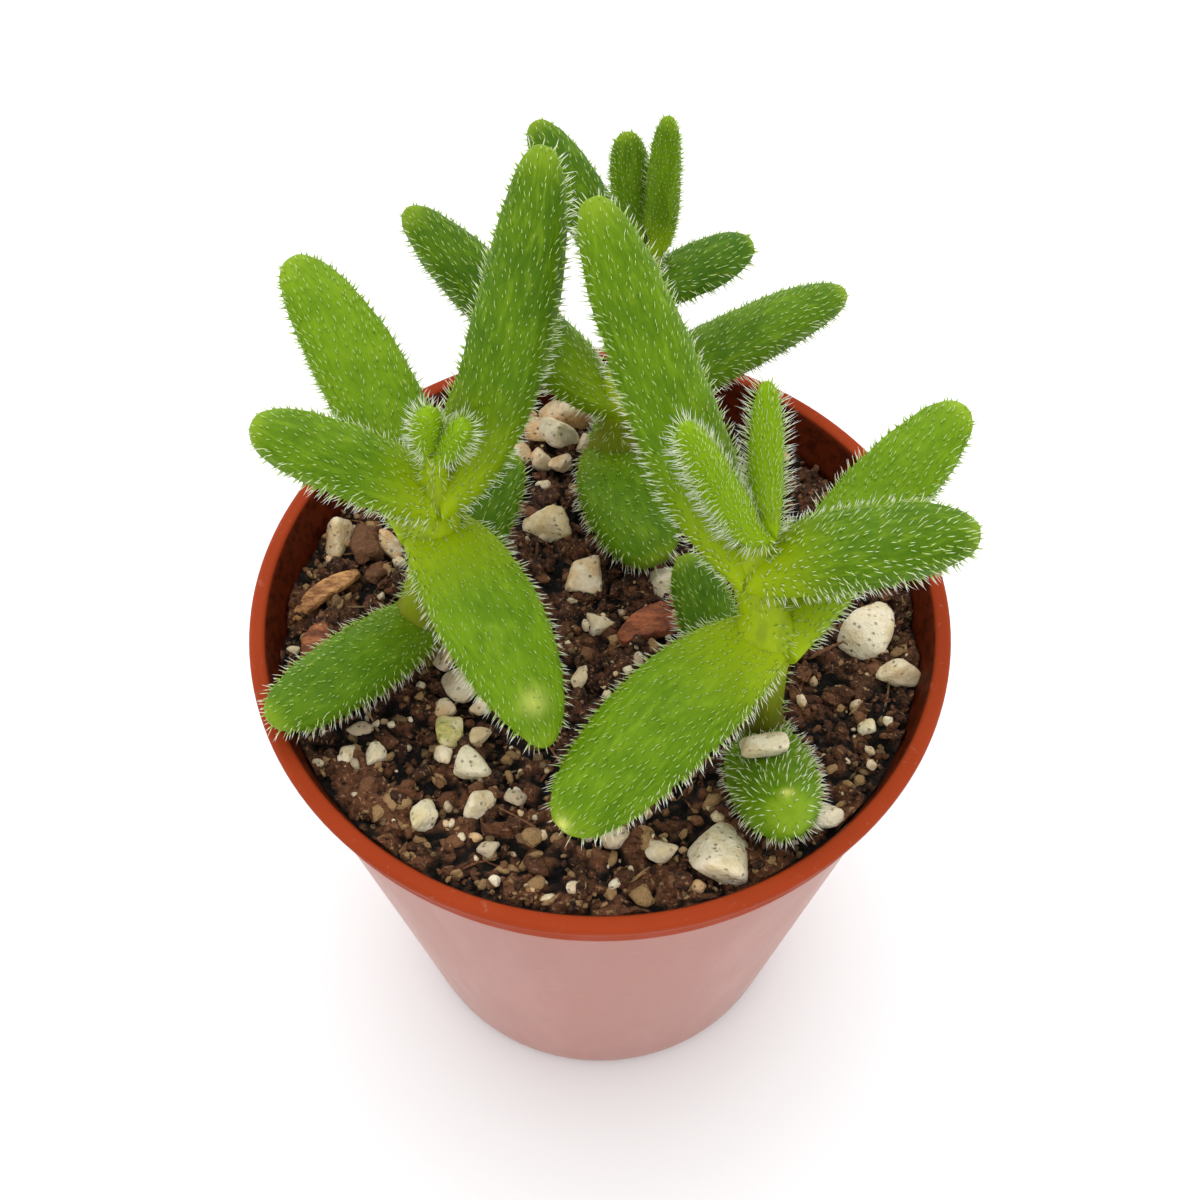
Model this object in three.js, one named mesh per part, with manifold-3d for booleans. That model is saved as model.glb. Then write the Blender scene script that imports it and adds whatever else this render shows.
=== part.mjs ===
// A small potted pickle plant: three bristly succulent shoots in a round plastic nursery pot.
// Millimetres, +Z up. The origin is the centre of the pot's underside, on the surface it stands on.
// The front of the plant faces -Y, and +X is to the right when it is seen from the front.
import * as THREE from "three";
import { mergeVertices } from "three/addons/utils/BufferGeometryUtils.js";
import Module from "manifold-3d";

const wasm = await Module();
wasm.setup();

// Clearance between neighbouring solids.
const GAP = 0.3;

// Pot: a tapered cup with a collar and a bead round the mouth.
const POT_HEIGHT = 52;
const POT_RIM_RADIUS = 27.5;
const POT_COLLAR_RADIUS = 26.9;
const POT_NECK_RADIUS = 26.2;
const POT_BASE_RADIUS = 18;
const POT_WALL = 1.0;
const POT_COLLAR_HEIGHT = 3.5;
const POT_BEAD_HEIGHT = 1.2;
const POT_FLOOR_TOP = 2.0;
const POT_GROOVE_DEPTH = 1.0;
const POT_GROOVE_INNER = 8;
const POT_GROOVE_OUTER = 15;
const POT_FOOT_BEVEL = 0.6;
const POT_EDGE_BEVEL = 0.3;
const POT_BEAD_WIDTH = 1.4;
const POT_SEGMENTS = 48;
const DRAIN_HOLES = 6;
const DRAIN_HOLE_RADIUS = 1.8;

// Soil: a filling that lies a little lower at the back than at the front.
const SOIL_LEVEL = 48.9;
const SOIL_RADIUS = 25;
const SOIL_SLOPE = 0.05;
const SOIL_RIPPLE = 0.35;
const SOIL_WAVES = { x: 0.9, y: 0.8, shiftX: 1.7, shiftY: -0.4 };
const SOIL_GAP = 0.4;
const SOIL_SEGMENTS = 40;
const SOIL_RINGS = 8;
// The soil's side follows the pot's wall, which turns this far above the soil's shoulder.
const SHOULDER_DROP = 2;

// Stems.
const STEM_DEPTH = 9;
const STEM_SIDES = 8;
const STEM_FOOT_RADIUS = 1.7;
const STEM_TIP_RADIUS = 0.7;
const STEM_TIP_RISE = 0.4;

// Bristles: three-sided, as long as on the plant, and kept clear of every other piece.
const BRISTLE_LENGTH = 1.3;
const BRISTLE_WIDTH = 0.34;
const BRISTLE_SPACING = 2.1;
const BRISTLE_LEAN = 0.35;
const BRISTLE_CLEARANCE = 0.6;
const BRISTLE_LEAF_CLEARANCE = 0.45;
const BRISTLE_PROBES = [0, 0.35, 0.7, 1];
const BRISTLE_CHOICES = [1, 0.75, 0.55];
const LENGTH_SPREAD = 0.15;
const LEAN_SPREAD = 0.3;
const YOUNG_LENGTH_SHARE = 0.75;
const YOUNG_SPACING_SHARE = 0.7;
const NODE_REACH = 2.8;

const COLOURS = {
  pot: 0xb4502d,
  soil: 0x4a2f1e,
  stem: 0x8a9a35,
  leaf: 0x6f9e2c,
  youngLeaf: 0x8fc02a,
  pumice: 0xd9cdac,
  bark: 0x7a4e30,
};

// A repeatable source of draws between 0 and 1.
function makeRandom(seed) {
  let state = seed >>> 0;
  return () => {
    state = (state + 0x6d2b79f5) >>> 0;
    let t = state;
    t = Math.imul(t ^ (t >>> 15), t | 1);
    t ^= t + Math.imul(t ^ (t >>> 7), t | 61);
    return ((t ^ (t >>> 14)) >>> 0) / 4294967296;
  };
}

// A share near 1, drawn evenly within the spread on either side.
function vary(random, spread) {
  return 1 + spread * (2 * random() - 1);
}

function vec(x, y, z) {
  return new THREE.Vector3(x, y, z);
}

function radians(degrees) {
  return THREE.MathUtils.degToRad(degrees);
}

function smooth(t) {
  const x = THREE.MathUtils.clamp(t, 0, 1);
  return x * x * (3 - 2 * x);
}

// A unit vector from a compass angle round +Z and a rise above the level.
function heading(azimuth, rise) {
  const a = radians(azimuth);
  const e = radians(rise);
  return vec(Math.cos(a) * Math.cos(e), Math.sin(a) * Math.cos(e), Math.sin(e));
}

function makeMaterial(colour, roughness) {
  return new THREE.MeshStandardMaterial({ color: colour, roughness, metalness: 0 });
}

const MATERIALS = {
  pot: makeMaterial(COLOURS.pot, 0.45),
  soil: makeMaterial(COLOURS.soil, 0.95),
  stem: makeMaterial(COLOURS.stem, 0.6),
  leaf: makeMaterial(COLOURS.leaf, 0.5),
  youngLeaf: makeMaterial(COLOURS.youngLeaf, 0.5),
  pumice: makeMaterial(COLOURS.pumice, 0.95),
  bark: makeMaterial(COLOURS.bark, 0.85),
};

// Conversions between three.js geometry and solids for cuts.
function toSolid(geometry) {
  const bare = geometry.clone();
  bare.deleteAttribute("normal");
  bare.deleteAttribute("uv");
  const merged = mergeVertices(bare, 1e-4);
  return new wasm.Manifold(
    new wasm.Mesh({
      numProp: 3,
      vertProperties: merged.attributes.position.array,
      triVerts: new Uint32Array(merged.index.array),
    }),
  );
}

function toGeometry(solid) {
  const mesh = solid.getMesh();
  const geometry = new THREE.BufferGeometry();
  geometry.setAttribute("position", new THREE.BufferAttribute(mesh.vertProperties, 3));
  geometry.setIndex(new THREE.BufferAttribute(mesh.triVerts, 1));
  geometry.computeVertexNormals();
  return geometry;
}

// A geometry from a list of corner points and a list of triangles.
function fromTriangles(points, triangles) {
  const geometry = new THREE.BufferGeometry();
  const values = new Float32Array(points.flatMap((p) => [p.x, p.y, p.z]));
  geometry.setAttribute("position", new THREE.BufferAttribute(values, 3));
  geometry.setIndex(triangles.flat());
  geometry.computeVertexNormals();
  return geometry;
}

const plant = new THREE.Group();
plant.name = "potted_pickle_plant";

function addMesh(name, geometry, material) {
  const mesh = new THREE.Mesh(geometry, material);
  mesh.name = name;
  plant.add(mesh);
  return mesh;
}

// The pot's outer wall between its foot and its collar is one straight taper.
const COLLAR_BOTTOM = POT_HEIGHT - POT_COLLAR_HEIGHT;

function outerRadius(z) {
  return THREE.MathUtils.mapLinear(z, 0, COLLAR_BOTTOM, POT_BASE_RADIUS, POT_NECK_RADIUS);
}

function innerRadius(z) {
  return outerRadius(z) - POT_WALL;
}

function makePot() {
  const beadBottom = POT_HEIGHT - POT_BEAD_HEIGHT;
  const mouth = POT_RIM_RADIUS - POT_BEAD_WIDTH;
  const profile = [
    [0, 0],
    [POT_GROOVE_INNER, 0],
    [POT_GROOVE_INNER + POT_FOOT_BEVEL, POT_GROOVE_DEPTH],
    [POT_GROOVE_OUTER - POT_FOOT_BEVEL, POT_GROOVE_DEPTH],
    [POT_GROOVE_OUTER, 0],
    [POT_BASE_RADIUS - POT_FOOT_BEVEL, 0],
    [outerRadius(POT_FOOT_BEVEL), POT_FOOT_BEVEL],
    [outerRadius(COLLAR_BOTTOM), COLLAR_BOTTOM],
    [POT_COLLAR_RADIUS, COLLAR_BOTTOM + POT_EDGE_BEVEL],
    [POT_COLLAR_RADIUS, beadBottom],
    [POT_RIM_RADIUS, beadBottom + POT_EDGE_BEVEL],
    [POT_RIM_RADIUS, POT_HEIGHT - POT_EDGE_BEVEL],
    [POT_RIM_RADIUS - POT_EDGE_BEVEL, POT_HEIGHT],
    [mouth + POT_EDGE_BEVEL, POT_HEIGHT],
    [mouth, POT_HEIGHT - POT_EDGE_BEVEL],
    [innerRadius(COLLAR_BOTTOM), COLLAR_BOTTOM],
    [innerRadius(POT_FLOOR_TOP + POT_FOOT_BEVEL), POT_FLOOR_TOP + POT_FOOT_BEVEL],
    [innerRadius(POT_FLOOR_TOP) - POT_FOOT_BEVEL, POT_FLOOR_TOP],
    [0, POT_FLOOR_TOP],
  ];
  const points = profile.map(([r, z]) => new THREE.Vector2(r, z));
  const body = new THREE.LatheGeometry(points, POT_SEGMENTS);
  body.rotateX(Math.PI / 2);
  let solid = toSolid(body);
  const holeCircle = (POT_GROOVE_INNER + POT_GROOVE_OUTER) / 2;
  for (let i = 0; i < DRAIN_HOLES; i += 1) {
    const angle = (2 * Math.PI * (i + 0.5)) / DRAIN_HOLES;
    const depth = 2 * POT_FLOOR_TOP;
    const hole = new THREE.CylinderGeometry(DRAIN_HOLE_RADIUS, DRAIN_HOLE_RADIUS, depth, 12);
    hole.rotateX(Math.PI / 2);
    hole.translate(holeCircle * Math.cos(angle), holeCircle * Math.sin(angle), POT_FLOOR_TOP / 2);
    solid = solid.subtract(toSolid(hole));
  }
  addMesh("pot", toGeometry(solid), MATERIALS.pot);
}

// The height of the soil's surface.
function soilHeight(x, y) {
  const { x: alongX, y: alongY, shiftX, shiftY } = SOIL_WAVES;
  const ripple = Math.sin(alongX * x + shiftX) * Math.cos(alongY * y + shiftY);
  return SOIL_LEVEL - SOIL_SLOPE * y + SOIL_RIPPLE * ripple;
}

// The radius of the pot's inside at a height near the soil's surface.
function mouthRadius(z) {
  if (z < COLLAR_BOTTOM) return innerRadius(z);
  const mouth = POT_RIM_RADIUS - POT_BEAD_WIDTH;
  const top = POT_HEIGHT - POT_EDGE_BEVEL;
  return THREE.MathUtils.mapLinear(z, COLLAR_BOTTOM, top, innerRadius(COLLAR_BOTTOM), mouth);
}

function makeSoilBlock() {
  const points = [vec(0, 0, soilHeight(0, 0))];
  const triangles = [];
  const bottom = POT_FLOOR_TOP + GAP;
  const shoulder = COLLAR_BOTTOM - SHOULDER_DROP;
  for (let ring = 1; ring <= SOIL_RINGS + 2; ring += 1) {
    for (let i = 0; i < SOIL_SEGMENTS; i += 1) {
      const angle = (2 * Math.PI * i) / SOIL_SEGMENTS;
      const c = Math.cos(angle);
      const s = Math.sin(angle);
      if (ring <= SOIL_RINGS) {
        const brim = soilHeight(SOIL_RADIUS * c, SOIL_RADIUS * s);
        const r = ((mouthRadius(brim) - SOIL_GAP) * ring) / SOIL_RINGS;
        points.push(vec(r * c, r * s, soilHeight(r * c, r * s)));
      } else {
        const z = ring > SOIL_RINGS + 1 ? bottom : shoulder;
        const r = innerRadius(z) - (ring > SOIL_RINGS + 1 ? POT_FOOT_BEVEL : 0) - SOIL_GAP;
        points.push(vec(r * c, r * s, z));
      }
    }
  }
  const at = (ring, i) => 1 + (ring - 1) * SOIL_SEGMENTS + (i % SOIL_SEGMENTS);
  for (let i = 0; i < SOIL_SEGMENTS; i += 1) {
    triangles.push([0, at(1, i), at(1, i + 1)]);
    for (let ring = 1; ring <= SOIL_RINGS + 1; ring += 1) {
      triangles.push([at(ring, i), at(ring + 1, i), at(ring + 1, i + 1)]);
      triangles.push([at(ring, i), at(ring + 1, i + 1), at(ring, i + 1)]);
    }
  }
  points.push(vec(0, 0, bottom));
  for (let i = 0; i < SOIL_SEGMENTS; i += 1) {
    triangles.push([points.length - 1, at(SOIL_RINGS + 2, i + 1), at(SOIL_RINGS + 2, i)]);
  }
  return fromTriangles(points, triangles);
}

// Each shoot is a stem through its nodes, given from the lowest up, with a pair of leaves at each.
// across: compass angle in which leaf a leaves the stem, with leaf b opposite.
// azimuth, rise and reach: where the leaf's tip lies, seen from its node.
// base, width and thickness: the leaf's full width at the stem and its greatest section.
// arch and sway: how far the leaf bows upward and to its left, as a share of its length.
// blunt: how full the leaf stays towards its tip, where that is not as on most leaves.
const SHOOTS = [
  {
    name: "left",
    foot: vec(-14.2, -2.2, 48),
    pairs: [
      {
        name: "low",
        at: vec(-13.7, -1.9, 53.5),
        stem: 1.6,
        across: -130,
        a: {
          azimuth: -136, rise: 6, reach: 14.9, base: 4.4, width: 6.0, thickness: 4.4,
          arch: 0.05, sway: 0.05,
        },
        b: { azimuth: 61, rise: 18, reach: 14.9, base: 4.4, width: 5.4, thickness: 4.4, arch: 0 },
      },
      {
        name: "middle",
        at: vec(-12.0, -1.4, 64.2),
        stem: 1.5,
        across: -60,
        a: {
          azimuth: -62, rise: -15, reach: 18.3, base: 5.2, width: 7.6, thickness: 4.0,
          arch: 0.1, sway: 0.07, blunt: 1.7,
        },
        b: {
          azimuth: 122, rise: 26, reach: 22.7, base: 5.4, width: 6.7, thickness: 4.2,
          arch: 0, sway: -0.1,
        },
      },
      {
        name: "upper",
        at: vec(-11.7, -0.8, 67.7),
        stem: 1.2,
        across: 190,
        a: { azimuth: 175, rise: 26, reach: 13.7, base: 4.4, width: 5.6, thickness: 4.2, arch: 0.1 },
        b: {
          azimuth: 61, rise: 50, reach: 25.3, base: 4.8, width: 5.9, thickness: 4.8,
          arch: -0.04, sway: -0.11,
        },
      },
      {
        name: "young",
        at: vec(-11.3, -0.8, 72.2),
        stem: 0.8,
        across: 150,
        a: { azimuth: 152, rise: 86, reach: 4.2, base: 1.5, width: 1.8, thickness: 1.5, arch: 0.02 },
        b: { azimuth: -8, rise: 58, reach: 4.2, base: 1.5, width: 1.8, thickness: 1.5, arch: 0.02 },
      },
    ],
  },
  {
    name: "right",
    foot: vec(12.0, -9.4, 48),
    pairs: [
      {
        name: "low",
        at: vec(12.0, -9.4, 49.2),
        stem: 1.7,
        across: -70,
        a: { azimuth: -83, rise: 33, reach: 13.2, base: 4.0, width: 6.6, thickness: 6.0, arch: -0.24 },
        b: { azimuth: 116, rise: 30, reach: 14.5, base: 4.0, width: 5.0, thickness: 4.6, arch: -0.05 },
      },
      {
        name: "middle",
        at: vec(11.8, -9.2, 62.0),
        stem: 1.6,
        across: -140,
        a: {
          azimuth: -138, rise: -14, reach: 20.0, base: 4.6, width: 8.2, thickness: 4.0,
          arch: 0.1, sway: -0.05,
        },
        b: {
          azimuth: 45, rise: 21, reach: 22.0, base: 6.0, width: 6.4, thickness: 4.2,
          arch: 0, sway: 0.05,
        },
      },
      {
        name: "upper",
        at: vec(10.7, -6.8, 67.4),
        stem: 1.3,
        across: -20,
        a: { azimuth: 1, rise: 11, reach: 15.5, base: 4.8, width: 5.9, thickness: 5.0, arch: 0.15 },
        b: { azimuth: 126, rise: 45, reach: 27.2, base: 4.8, width: 6.1, thickness: 4.8, arch: -0.03 },
      },
      {
        name: "young",
        at: vec(10.9, -6.6, 70.6),
        stem: 0.8,
        across: 60,
        a: { azimuth: 88, rise: 50, reach: 10.4, base: 2.4, width: 2.8, thickness: 2.4, arch: -0.02 },
        b: { azimuth: 162, rise: 58, reach: 11.0, base: 2.4, width: 3.5, thickness: 2.4, arch: -0.02 },
      },
    ],
  },
  {
    name: "back",
    foot: vec(1.2, 16.2, 48),
    pairs: [
      {
        name: "low",
        at: vec(1.2, 16.2, 51.6),
        stem: 1.6,
        across: -90,
        a: {
          azimuth: -73, rise: 2, reach: 12.4, base: 5.0, width: 7.4, thickness: 4.6,
          arch: 0.1, sway: -0.13,
        },
        b: { azimuth: 65, rise: 12, reach: 8.0, base: 4.4, width: 5.0, thickness: 4.2, arch: 0.05 },
      },
      {
        name: "middle",
        at: vec(1.7, 16.8, 57.5),
        stem: 1.5,
        across: 10,
        a: { azimuth: 26, rise: 8, reach: 20.9, base: 4.6, width: 5.3, thickness: 4.5, arch: 0.09 },
        b: { azimuth: 150, rise: 30, reach: 22.8, base: 4.6, width: 5.8, thickness: 4.6, arch: -0.03 },
      },
      {
        name: "upper",
        at: vec(3.4, 19.8, 67.4),
        stem: 1.2,
        across: -30,
        a: { azimuth: 20, rise: 9, reach: 9.2, base: 4.0, width: 4.2, thickness: 3.7, arch: 0.04 },
        b: { azimuth: 133, rise: 34, reach: 15.0, base: 4.0, width: 4.4, thickness: 3.8, arch: 0 },
      },
      {
        name: "young",
        at: vec(3.8, 20.6, 70.3),
        stem: 0.8,
        across: -40,
        a: { azimuth: 60, rise: 78, reach: 11.5, base: 2.0, width: 2.6, thickness: 2.2, arch: -0.05 },
        b: {
          azimuth: 128, rise: 64, reach: 9.5, base: 2.0, width: 3.1, thickness: 2.4,
          arch: -0.05, sway: 0.03,
        },
      },
    ],
  },
];

// Leaf outline along its length: a narrow base, the widest part past the middle, a blunt tip.
const WIDEST_AT = 0.48;
const BLUNTNESS = 2.3;

function outline(s, base, bluntness) {
  if (s < WIDEST_AT) {
    return base + (1 - base) * Math.sin((Math.PI / 2) * (s / WIDEST_AT));
  }
  const u = Math.min(1, (s - WIDEST_AT) / (1 - WIDEST_AT));
  return (1 - u ** bluntness) ** (1 / bluntness);
}

// The upper side of a leaf is flatter than its keel side.
const UPPER_SHARE = 0.4;
// Half the height of a leaf's base, where the two of a pair clasp the stem.
const SHEATH = 1.5;
const YOUNG_SHEATH = 0.7;
const LEAF_SIDES = 10;
const YOUNG_SIDES = 8;
const RING_PLACES = [0, 0.09, 0.2, 0.34, 0.5, 0.65, 0.78, 0.88, 0.95];
const YOUNG_RING_PLACES = [0, 0.15, 0.35, 0.6, 0.8, 0.93];
// A leaf's bend: where its middle lies, and how far its ends are drawn towards that.
const BEND_AT = 0.45;
const START_PULL = 0.12;
const START_BEND = 0.35;
const END_BEND = 0.6;
// The share of its length over which a leaf turns from the stem into its own direction.
const TURN_SHARE = 0.3;

// A leaf's form: its rings, each with a centre, a side direction, an up direction and half sizes.
function leafForm(pair, leaf, side) {
  const young = pair.name === "young";
  const outward = heading(pair.across + (side === "b" ? 180 : 0), 0);
  const toTip = heading(leaf.azimuth, leaf.rise);
  const start = pair.at.clone().addScaledVector(outward, GAP / 2);
  const tip = pair.at.clone().addScaledVector(toTip, leaf.reach);
  const length = start.distanceTo(tip);
  const middle = start.clone().lerp(tip, BEND_AT);
  middle.z += leaf.arch * length;
  middle.addScaledVector(heading(leaf.azimuth + 90, 0), (leaf.sway ?? 0) * length);
  const startPull = start.clone().addScaledVector(outward, START_PULL * length);
  const nearStart = startPull.lerp(middle, START_BEND);
  const nearTip = tip.clone().lerp(middle, END_BEND);
  const curve = new THREE.CubicBezierCurve3(start, nearStart, nearTip, tip);
  const places = young ? YOUNG_RING_PLACES : RING_PLACES;
  const blunt = leaf.blunt ?? BLUNTNESS;
  const rings = places.map((s) => {
    const tangent = curve.getTangent(s);
    const turn = smooth(s / TURN_SHARE);
    const facing = outward.clone().lerp(tangent, turn).normalize();
    const level = heading(leaf.azimuth, 0).lerp(outward, 1 - turn).normalize();
    const across = vec(-level.y, level.x, 0);
    across.addScaledVector(facing, -across.dot(facing)).normalize();
    const up = facing.clone().cross(across);
    const halfWidth = (leaf.width / 2) * outline(s, leaf.base / leaf.width, blunt);
    const sheath = (2 * (young ? YOUNG_SHEATH : SHEATH)) / leaf.thickness;
    const halfThickness = (leaf.thickness / 2) * outline(s, sheath, BLUNTNESS);
    return { centre: curve.getPoint(s), facing, across, up, halfWidth, halfThickness };
  });
  const sides = young ? YOUNG_SIDES : LEAF_SIDES;
  return { rings, tip: curve.getPoint(1), young, sides };
}

function stemForm(shoot) {
  const below = shoot.foot.clone().add(vec(0, 0, -STEM_DEPTH));
  const last = shoot.pairs[3].at;
  const before = shoot.pairs[2].at;
  const end = last.clone().add(last.clone().sub(before).setLength(-GAP));
  const stops = [
    { point: below, radius: STEM_FOOT_RADIUS },
    { point: shoot.foot, radius: STEM_FOOT_RADIUS },
    ...shoot.pairs.slice(0, 3).map((pair) => ({ point: pair.at, radius: pair.stem })),
    { point: end, radius: STEM_TIP_RADIUS },
  ];
  const curve = new THREE.CatmullRomCurve3(stops.map((stop) => stop.point));
  const rings = [];
  const steps = 2 * (stops.length - 1);
  for (let i = 0; i <= steps; i += 1) {
    const u = i / steps;
    const k = Math.min(stops.length - 2, Math.floor(i / 2));
    const share = i / 2 - k;
    const facing = curve.getTangent(u);
    const across = vec(0, 1, 0);
    across.addScaledVector(facing, -across.dot(facing)).normalize();
    const up = facing.clone().cross(across);
    const radius = THREE.MathUtils.lerp(stops[k].radius, stops[k + 1].radius, share);
    const centre = curve.getPoint(u);
    rings.push({ centre, facing, across, up, halfWidth: radius, halfThickness: radius });
  }
  const tip = end.clone().addScaledVector(rings[steps].facing, STEM_TIP_RISE);
  return { rings, tip, stem: true, sides: STEM_SIDES };
}

// Stones and chips lie in the soil. size: width, depth and height. turn: degrees round +Z.
// lift: the height of a stone's middle over the soil, where it rests higher than most.
const PUMICE = [
  { at: [-1.3, 22.9], size: [4.4, 2.8, 3.4], turn: 8, lift: 1.2 },
  { at: [-4.4, 10.4], size: [3.5, 4.1, 3.0], turn: 30 },
  { at: [-1.2, 4.9], size: [3.3, 3.8, 3.0], turn: -20 },
  { at: [-0.2, 0.0], size: [2.1, 2.2, 2.0], turn: 60 },
  { at: [5.2, 4.5], size: [3.0, 3.0, 2.6], turn: 10 },
  { at: [21.1, -0.6], size: [4.6, 5.0, 3.6], turn: 0 },
  { at: [23.3, -4.8], size: [3.3, 2.9, 2.4], turn: 35 },
  { at: [12.0, -13.9], size: [3.7, 2.1, 1.9], turn: 8, lift: 5.15 },
  { at: [8.9, -21.0], size: [5.2, 5.2, 4.4], turn: 40 },
  { at: [16.6, -17.4], size: [2.6, 2.8, 2.6], turn: 15 },
  { at: [4.5, -20.4], size: [1.9, 2.3, 2.0], turn: 70 },
  { at: [1.2, -19.0], size: [3.0, 2.4, 2.2], turn: -15 },
  { at: [-13.0, -17.4], size: [2.1, 2.9, 2.2], turn: -25 },
  { at: [-8.9, -16.3], size: [1.9, 3.4, 2.2], turn: -28 },
  { at: [-11.1, -2.5], size: [2.1, 2.5, 2.2], turn: 50 },
  { at: [-10.8, -5.9], size: [3.0, 3.0, 2.6], turn: 12 },
  { at: [-11.6, -10.2], size: [2.7, 2.7, 2.3], turn: -40 },
  { at: [-9.8, -13.2], size: [2.6, 3.0, 2.4], turn: 25 },
  { at: [-21.8, 9.2], size: [2.2, 4.2, 3.0], turn: -20 },
  { at: [-17.3, 8.3], size: [1.8, 3.4, 2.6], turn: 25 },
  { at: [-3.5, 19.9], size: [3.4, 2.7, 3.2], turn: 10, lift: 1.2 },
  { at: [-5.1, 18.0], size: [2.3, 2.2, 2.0], turn: 15 },
  { at: [-17.1, -12.1], size: [1.9, 1.7, 1.6], turn: 20 },
];
const PUMICE_SHOWING = 0.62;
const PUMICE_ROUGHNESS = 0.16;
const BIG_PUMICE = 3.6;

const BARK = [
  { at: [-22.2, 3.2], length: 6.4, width: 2.0, thickness: 0.7, curl: 0.8, turn: 32, tilt: -6 },
  { at: [-22.3, -1.4], length: 3.8, width: 2.6, thickness: 0.7, curl: 0.4, turn: 40, tilt: 4 },
  { at: [4.6, 0.4], length: 7.0, width: 3.0, thickness: 1.1, curl: 0.7, turn: 14, tilt: 5 },
];

function pumiceForms() {
  const random = makeRandom(31);
  return PUMICE.map((stone, index) => {
    const [x, y] = stone.at;
    const detail = Math.max(...stone.size) > BIG_PUMICE ? 1 : 0;
    const ball = new THREE.IcosahedronGeometry(0.5, detail);
    ball.deleteAttribute("normal");
    ball.deleteAttribute("uv");
    const shape = mergeVertices(ball, 1e-4);
    const place = shape.attributes.position;
    for (let i = 0; i < place.count; i += 1) {
      const swell = vary(random, PUMICE_ROUGHNESS);
      place.setXYZ(i, place.getX(i) * swell, place.getY(i) * swell, place.getZ(i) * swell);
    }
    const lift = stone.lift ?? (PUMICE_SHOWING - 0.5) * stone.size[2];
    const z = soilHeight(x, y) + lift;
    const name = `pumice_${String(index + 1).padStart(2, "0")}`;
    return { name, stone, shape, centre: vec(x, y, z) };
  });
}

// The stone's shape at its place, swollen by a clearance on every side.
function pumiceGeometry(form, clearance) {
  const [w, d, h] = form.stone.size.map((s) => s + 2 * clearance);
  const geometry = form.shape.clone();
  geometry.scale(w, d, h);
  geometry.rotateZ(radians(form.stone.turn));
  geometry.translate(form.centre.x, form.centre.y, form.centre.z);
  return geometry;
}

// A chip is a short strip of bark, bowed up along its middle, narrower and skewed at its ends.
const CHIP_STEPS = 5;
const CHIP_TAPER = 0.45;
const CHIP_SKEW = 0.25;
const CHIP_LIFT = 0.1;
const CHIP_CORNERS = [[-1, -1], [1, -1], [1, 1], [-1, 1]];

function chipGeometry(chip, clearance) {
  const points = [];
  const triangles = [];
  const length = chip.length + 2 * clearance;
  const width = chip.width + 2 * clearance;
  const half = chip.thickness / 2 + clearance;
  for (let i = 0; i <= CHIP_STEPS; i += 1) {
    const s = (2 * i) / CHIP_STEPS - 1;
    const taper = 1 - CHIP_TAPER * s * s;
    const bow = chip.curl * (1 - s * s);
    for (const [side, top] of CHIP_CORNERS) {
      const y = (side * width * taper) / 2 + CHIP_SKEW * chip.width * s;
      points.push(vec((s * length) / 2, y, bow + top * half));
    }
  }
  for (let i = 0; i < CHIP_STEPS; i += 1) {
    for (let j = 0; j < 4; j += 1) {
      const a = 4 * i + j;
      const b = 4 * i + ((j + 1) % 4);
      triangles.push([a, b + 4, a + 4], [a, b, b + 4]);
    }
  }
  const last = 4 * CHIP_STEPS;
  triangles.push([0, 2, 1], [0, 3, 2], [last, last + 1, last + 2], [last, last + 2, last + 3]);
  const geometry = fromTriangles(points, triangles);
  geometry.rotateY(radians(chip.tilt));
  geometry.rotateZ(radians(chip.turn));
  const [x, y] = chip.at;
  geometry.translate(x, y, soilHeight(x, y) + CHIP_LIFT);
  return geometry;
}

// The skin of a stem or leaf: one loop of points a ring, closed at the foot and drawn to a point.
function skin(form, clearance) {
  const { sides } = form;
  const points = [];
  const triangles = [];
  for (const ring of form.rings) {
    for (let j = 0; j < sides; j += 1) {
      const angle = (2 * Math.PI * j) / sides;
      const share = form.stem ? 0.5 : Math.sin(angle) > 0 ? UPPER_SHARE : 1 - UPPER_SHARE;
      const w = (ring.halfWidth + clearance) * Math.cos(angle);
      const h = (ring.halfThickness + clearance) * 2 * share * Math.sin(angle);
      points.push(ring.centre.clone().addScaledVector(ring.across, w).addScaledVector(ring.up, h));
    }
  }
  const count = form.rings.length;
  const last = form.rings[count - 1];
  points.push(form.tip.clone().addScaledVector(last.facing, clearance));
  for (let k = 0; k < count - 1; k += 1) {
    for (let j = 0; j < sides; j += 1) {
      const a = k * sides + j;
      const b = k * sides + ((j + 1) % sides);
      triangles.push([a, b, b + sides], [a, b + sides, a + sides]);
    }
  }
  for (let j = 1; j < sides - 1; j += 1) {
    triangles.push([0, j + 1, j]);
  }
  const base = (count - 1) * sides;
  for (let j = 0; j < sides; j += 1) {
    triangles.push([base + j, base + ((j + 1) % sides), points.length - 1]);
  }
  return { points, triangles };
}

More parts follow.
